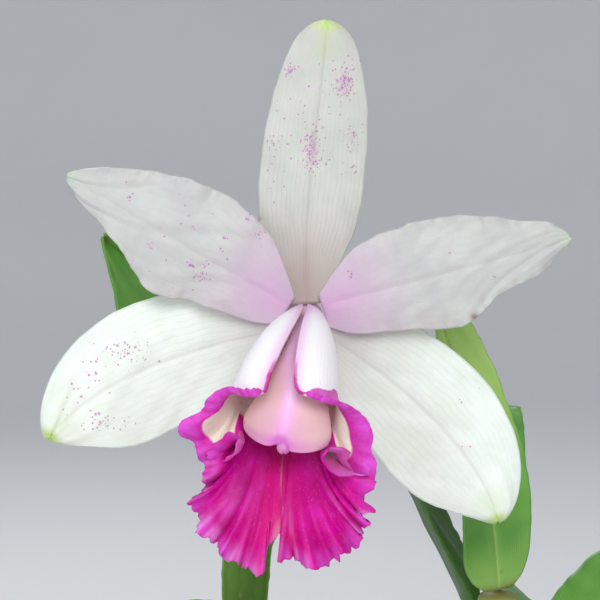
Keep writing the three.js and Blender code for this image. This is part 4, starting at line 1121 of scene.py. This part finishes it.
# %% Make the sheaths
# Bulb, where the sheath begins and ends along it, and the angle of its split
SHEATHS = [(0, 0.05, 0.4, 0.6), (1, 0.05, 0.34, 2.4), (3, 0.05, 0.42, -0.4), (5, 0.06, 0.38, 3)]
for k, low, high, opening in SHEATHS:
    name = "sheath_" + BULBS[k][0]
    sheath, s, t = start_grid(name, 70, 90)
    tear = (0.1 + 0.1 * wander(t * 4, k + 5)) * (1 - 0.2 * np.abs(t))
    s = s * (1 - tear * smooth(s, 0.0, 1.0))
    u = low + (high - low) * s
    angle = opening + np.pi + t * (np.pi - 0.35 - 0.5 * s)
    loose = 1.0 + 1.2 * s**3 + 0.25 * wander(t * 5 + s, k) * s
    radius = BULBS[k][3] * (through(BULB_GIRTH, u) + 0.03) + loose
    carry(sheath, around(axes(*bulb_curve(k)(u), FRONT), angle, radius, radius))
    mark(sheath, aged=(0.6 * smooth(s, 0.12, 0.0) + 0.4 * smooth(s, 0.72, 0.95)).clip(0, 1))
    thicken(sheath, 0.5, 1 - 0.5 * smooth(s, 0.5, 1))
    dress(sheath, "sheath", [PAPER_FINISH], name)

# %% [markdown]
# ## Rhizome and roots
# The rhizome creeps over the bark and joins the bulbs. It is ringed by old scale scars. Roots leave it and
# dive into the bark, wrapped in a dry, silvery skin. Each run is a roll along a smooth curve, and all of
# them are joined into one piece, as they are one growth.

# %% Root finish
def root_finish():
    material, tree, shader, place, _ = new_material("root_skin", Roughness=0.7)
    skin = use(tree, grain, Vector=place, Scale=1400.0)
    slow = noise(tree, place, 120.0, 4.0, 0.6)
    brown = mix(tree, slow, (112, 104, 60), (92, 72, 46))
    silver = mix(tree, slow, (206, 202, 184), (168, 160, 132))
    colour = mix(tree, "velamen", brown, silver)
    colour = mix(tree, "aged", colour, (70, 50, 36))
    colour = mix(tree, scaled(tree, skin["Mottle"], 0.25), colour, (122, 128, 84))
    finish(tree, shader, colour, scaled(tree, slow, 2.0, skin["Height"]), 0.25)
    return material


# %% Runs of the rhizome and the roots
BARK_LEVEL = 95.0
ROOT_HEIGHTS = [RHIZOME_HEIGHT, BARK_LEVEL + 1.6, BARK_LEVEL + 0.8, BARK_LEVEL - 5]


def pot_inner_radius(height):
    return 40 + height / 6


def run_points(run):
    stops = [np.array([*BULBS[k][1], RHIZOME_HEIGHT], float) for k in run]
    first = stops[0] + 5 * unit(stops[0] - stops[1])
    last = stops[-1] + 6 * unit(stops[-1] - stops[-2])
    return [first, *stops, last]


def root_points():
    """Two roots to each bulb. They run outwards over the bark, inside the pot's wall, and dive into it."""
    draw = seeded(7)
    room = pot_inner_radius(BARK_LEVEL) - 5
    roots = []
    for _, (x, y), *_ in BULBS:
        for k in range(2):
            outward = math.atan2(y, x) + (k - 0.5) * 1.5 + (draw() - 0.5) * 0.6
            length = 16 + 10 * draw()
            stray = (draw() - 0.5) * 7
            ahead = np.array([math.cos(outward), math.sin(outward)])
            aside = np.array([-ahead[1], ahead[0]])
            path = []
            for i, height in enumerate(ROOT_HEIGHTS):
                share = 0.12 + i * 0.88 / 3
                place = [x, y] + length * share * ahead + stray * math.sin(math.pi * share) * aside
                path.append([*place * min(1, room / np.hypot(*place)), height])
            roots.append(path)
    return roots


def along_spline(points):
    def curve(u):
        ahead, back = np.minimum(u + 0.004, 1), np.maximum(u - 0.004, 0)
        return spline(points, u), unit(spline(points, ahead) - spline(points, back))

    return curve


def run_girth(scars):
    """A rhizome's radius: rings where scales once sat, and a slight unevenness."""
    def radius(u, angle):
        scar = np.cos(2 * np.pi * u * scars) ** 12
        return 4.2 * (1 + 0.05 * scar + 0.03 * wander(u * 9 + angle / np.pi, 4))

    return radius


def root_girth(seed):
    return lambda u, angle: 1.7 * (1 + 0.08 * wander(u * 6 + angle / np.pi, seed))


RUNS = [run_points(run) for run in ([5, 4, 1, 3], [4, 0], [1, 2])]
ROOTS = root_points()
grown = []
for k, points in enumerate(RUNS):
    scars = 3 * len(points)
    run = roll(f"run_{k}", 40 * len(points), 36, along_spline(points), UP, run_girth(scars), (0.03, 0.03))
    mark(run, velamen=0, aged=0.25)
    grown.append(run)
for k, points in enumerate(ROOTS):
    root = roll(f"root_{k}", 70, 22, along_spline(points), UP, root_girth(k + 3), (0.02, 0.05))
    mark(root, velamen=1, aged=0.3 * (corners(root)[:, 2] < (BARK_LEVEL - 1) * MM))
    grown.append(root)
join(*grown)
growth = named("rhizome_and_roots")
dress(growth, "root", [root_finish()], "rhizome_and_roots")

# %% [markdown]
# ## The pot
# The pot is thrown clay: a foot, a wall that widens upwards, and a stout rim. A circle is drawn upwards
# ring by ring through the profile, over the rim and down inside to the floor, then the ends are filled.
# Three drain holes are cut, and a bevel rounds every edge. Its finish has throwing lines, pale bloom of
# salts and some damp, darker clay low down.

# %% Clay finish
def clay_finish():
    material, tree, shader, place, _ = new_material("fired_clay", Roughness=0.85, Specular_IOR_Level=0.25)
    lift = node(tree, "SeparateXYZ", {0: place}).outputs[2]
    waver = noise(tree, place, 9.0, 2.0)
    rings = maths(tree, "SINE", scaled(tree, waver, 9.0, scaled(tree, lift, 1900.0)))
    fine = noise(tree, place, 900.0, 4.0, 0.65)
    slow = noise(tree, place, 28.0, 4.0, 0.6)
    colour = mix(tree, slow, (196, 116, 82), (170, 92, 62))
    colour = mix(tree, between(tree, fine, 0.5, 0.75, 0.0, 0.35), colour, (210, 142, 108))
    colour = mix(tree, between(tree, lift, 0.045, 0.005, 0.0, 0.4), colour, (128, 74, 54))
    salts = between(tree, noise(tree, place, 34.0, 6.0, 0.7, 0.6), 0.56, 0.7, 0.0, 0.55)
    colour = mix(tree, salts, colour, (222, 206, 190))
    moss = between(tree, noise(tree, place, 55.0, 5.0, 0.7), 0.6, 0.72)
    moss = scaled(tree, moss, between(tree, lift, 0.08, 0.02, 0.0, 0.5))
    colour = mix(tree, moss, colour, (104, 110, 70))
    finish(tree, shader, colour, scaled(tree, rings, 0.35, fine), 0.25)
    return material


# %% Draw the pot upwards
POT_FLOOR = 8
POT_PROFILE = [
    (43.5, 0), (45, 1.5), (48.6, 22), (52.1, 44), (55.4, 66), (58.5, 87), (60.5, 88), (64, 90), (65, 91.5),
    (65, 100), (65, 108), (63, 110), (60.5, 110), (59, 108.5), (57.4, 100), (55, 90), (50.6, 64), (46, 36),
    (pot_inner_radius(POT_FLOOR), POT_FLOOR), (32, POT_FLOOR), (16, POT_FLOOR),
]
pot = turned("pot", 112, POT_PROFILE)

# %% Drain holes and rounded edges
HOLES, HOLE_RADIUS, HOLE_CIRCLE = 3, 5, 24
for k in range(HOLES):
    angle = 2 * math.pi * k / HOLES + math.pi / 2
    spot = np.array([HOLE_CIRCLE * math.cos(angle), HOLE_CIRCLE * math.sin(angle), POT_FLOOR / 2])
    bpy.ops.mesh.primitive_cylinder_add(vertices=40, radius=HOLE_RADIUS * MM, depth=3 * POT_FLOOR * MM,
                                        location=spot * MM)
    drill = bpy.context.object
    apply_modifier(pot, "BOOLEAN", operation="DIFFERENCE", object=drill, solver="EXACT")
    bpy.data.objects.remove(drill)
apply_modifier(pot, "BEVEL", width=0.7 * MM, segments=3, limit_method="ANGLE", angle_limit=math.radians(25))
pick(pot)
bpy.ops.object.shade_smooth_by_angle(angle=math.radians(35))
dress(pot, "clay", [clay_finish()], "pot")

# %% [markdown]
# ## Bark
# The pot is filled with chips of fir bark. Under them lies a rough core. Six chips are modelled once, each
# a cube cut and pushed about into a splinter, and copies of them lie at all angles in the surface. Where
# the rhizome and roots run, the chips lie lower.

# %% Bark finish
def bark_finish():
    material, tree, shader, place, _ = new_material("fir_bark", Roughness=0.9, Specular_IOR_Level=0.2)
    strata = noise(tree, stretched(tree, place, 1.0, 1.0, 3.2), 260.0, 5.0, 0.7, 0.4)
    slow = noise(tree, place, 60.0)
    colour = ramp(tree, strata, [(0.25, (52, 34, 26)), (0.5, (104, 70, 50)), (0.75, (150, 110, 80))])
    colour = mix(tree, between(tree, slow, 0.4, 0.65, 0.0, 0.5), colour, (122, 70, 44))
    tone = attribute(tree, "chip_tone")
    colour = mix(tree, between(tree, tone, 0.3, 1.0, 0.0, 0.55), colour, (174, 134, 98))
    colour = mix(tree, between(tree, tone, 0.4, 0.0, 0.0, 0.55), colour, (44, 30, 24))
    finish(tree, shader, colour, strata, 0.6)
    return material


# %% The core
CORE_CLEARANCE = 0.6
CORE_SIDE = [(pot_inner_radius(height) - CORE_CLEARANCE, height) for height in (8.3, 91)]
core = turned("bark_medium", 72, CORE_SIDE + [(50, 92.6), (40, 93.4), (30, 94), (20, 94), (10, 94)])
mark(core, chip_tone=0)


# %% Six chips
def make_chip(number):
    draw = seeded(100 + number)
    bpy.ops.mesh.primitive_cube_add(size=1)
    chip = bpy.context.object
    bpy.ops.object.mode_set(mode="EDIT")
    bpy.ops.mesh.select_all(action="SELECT")
    bpy.ops.mesh.subdivide(number_cuts=1)
    bpy.ops.object.mode_set(mode="OBJECT")
    shape = corners(chip)
    push = np.array([[draw() - 0.5 for _ in range(3)] for _ in shape])
    round_off = 1 - 0.22 * smooth(np.linalg.norm(shape, axis=1), 0.7, 0.87)
    chip.data.vertices.foreach_set("co", (shape * round_off[:, None] + 0.2 * push).ravel())
    return chip


chips = [make_chip(number) for number in range(6)]
print("faces of a chip:", len(chips[0].data.polygons))

# %% Lay the chips
CHIPS = 420
GOLDEN_ANGLE = math.pi * (3 - math.sqrt(5))
ways = np.vstack([spline(points, np.linspace(0, 1, 60)) for points in RUNS + ROOTS])
ways = ways[ways[:, 2] > BARK_LEVEL - 3]
room = pot_inner_radius(BARK_LEVEL) - 5.5
draw = seeded(23)
laid = [core]
for k in range(CHIPS):
    size = np.array([6 + 8 * draw(), 4 + 5 * draw(), 2 + 2.2 * draw()])
    lean = [(draw() - 0.5) * 0.8, (draw() - 0.5) * 0.8, 2 * math.pi * draw()]
    radius = room * math.sqrt((k + 0.5) / CHIPS)
    x, y = radius * math.cos(k * GOLDEN_ANGLE), radius * math.sin(k * GOLDEN_ANGLE)
    level = BARK_LEVEL - 0.6 + 2.2 * draw()
    if np.min(np.hypot(ways[:, 0] - x, ways[:, 1] - y)) < 8:
        size, level = size * 0.7, BARK_LEVEL - 1.6
    chip = chips[k % len(chips)].copy()
    chip.data = chip.data.copy()
    bpy.context.collection.objects.link(chip)
    shape = corners(chip) * size
    for (i, j), turn in zip(((1, 2), (2, 0), (0, 1)), lean):
        a, b = shape[:, i].copy(), shape[:, j].copy()
        shape[:, i] = math.cos(turn) * a - math.sin(turn) * b
        shape[:, j] = math.sin(turn) * a + math.cos(turn) * b
    carry(chip, shape + np.array([x, y, level]))
    mark(chip, chip_tone=0.15 + 0.85 * draw())
    laid.append(chip)
for chip in chips:
    bpy.data.objects.remove(chip)
join(*laid)
dress(core, "bark", [bark_finish()], "bark_medium")

# %% [markdown]
# ## Stage, light and camera
# The bloom is nearly white, so it stands before a pale grey that is a little darker than it is. The floor
# turns up into a far wall on all sides, so no horizon shows. A large soft lamp stands in front and above,
# with a weaker one on the other side, and the camera looks slightly down on the bloom from straight ahead.

# %% The floor that turns up
FLOOR_PROFILE = [(2.6, 0), (3.2, 0.06), (3.7, 0.3), (4, 0.8), (4.1, 2), (4.1, 3.5)]
bpy.ops.mesh.primitive_circle_add(vertices=96, radius=FLOOR_PROFILE[0][0], fill_type="NGON",
                                  location=(0, 0, 0))
floor = named("floor")
bpy.ops.object.mode_set(mode="EDIT")
bpy.ops.mesh.select_all(action="SELECT")
bpy.ops.mesh.region_to_loop()
draw_rings(FLOOR_PROFILE, bpy.ops.mesh.extrude_edges_move, 1)
bpy.ops.object.mode_set(mode="OBJECT")
bpy.ops.object.shade_smooth()
studio, tree, shader, place, _ = new_material("studio_paper", Roughness=0.9)
paper = mix(tree, noise(tree, place, 3.0, 2.0), (228, 229, 230), (233, 233, 232))
tree.links.new(paper, shader.inputs["Base Color"])
floor.data.materials.append(studio)


# %% Lamps
def add_lamp(name, spot, size, energy, colour, aim=(-0.008, -0.04, 0.32)):
    away = [a - b for a, b in zip(spot, aim)]
    flat = math.hypot(away[0], away[1])
    turn = (math.atan2(flat, away[2]), 0, math.atan2(away[1], away[0]) + math.pi / 2)
    bpy.ops.object.light_add(type="AREA", location=spot, rotation=turn)
    lamp = named(name)
    lamp.data.shape = "DISK"
    lamp.data.size = size
    lamp.data.energy = energy
    lamp.data.color = colour


add_lamp("key", (0.12, -1.4, 1.0), 0.8, 12.5, (1, 0.985, 0.96))
add_lamp("fill", (-1.1, -1.0, 0.5), 0.9, 4, (0.95, 0.97, 1))
add_lamp("back", (-0.4, 1.3, 1.3), 0.9, 7, (1, 1, 1))
world = bpy.data.worlds.new("soft_room")
bpy.context.scene.world = world
world.use_nodes = True
world.node_tree.nodes["Background"].inputs["Color"].default_value = (0.9, 0.93, 1, 1)
world.node_tree.nodes["Background"].inputs["Strength"].default_value = 0.62
bpy.context.scene.view_settings.view_transform = "Standard"

# %% Camera
TILT = math.radians(4)
CAMERA_AWAY = 450
FIELD_WIDTH = 138
SENSOR_WIDTH = 36
centre = BLOOM + np.array([-1.15, 0, 4.14])
spot = centre + CAMERA_AWAY * np.array([0, -math.cos(TILT), math.sin(TILT)])
bpy.ops.object.camera_add(location=spot * MM, rotation=(math.pi / 2 - TILT, 0, 0))
camera = bpy.context.object
camera.data.sensor_width = SENSOR_WIDTH
camera.data.lens = SENSOR_WIDTH * CAMERA_AWAY / FIELD_WIDTH
camera.data.clip_start = 0.01
bpy.context.scene.camera = camera
print("lens:", round(camera.data.lens, 1), "mm")
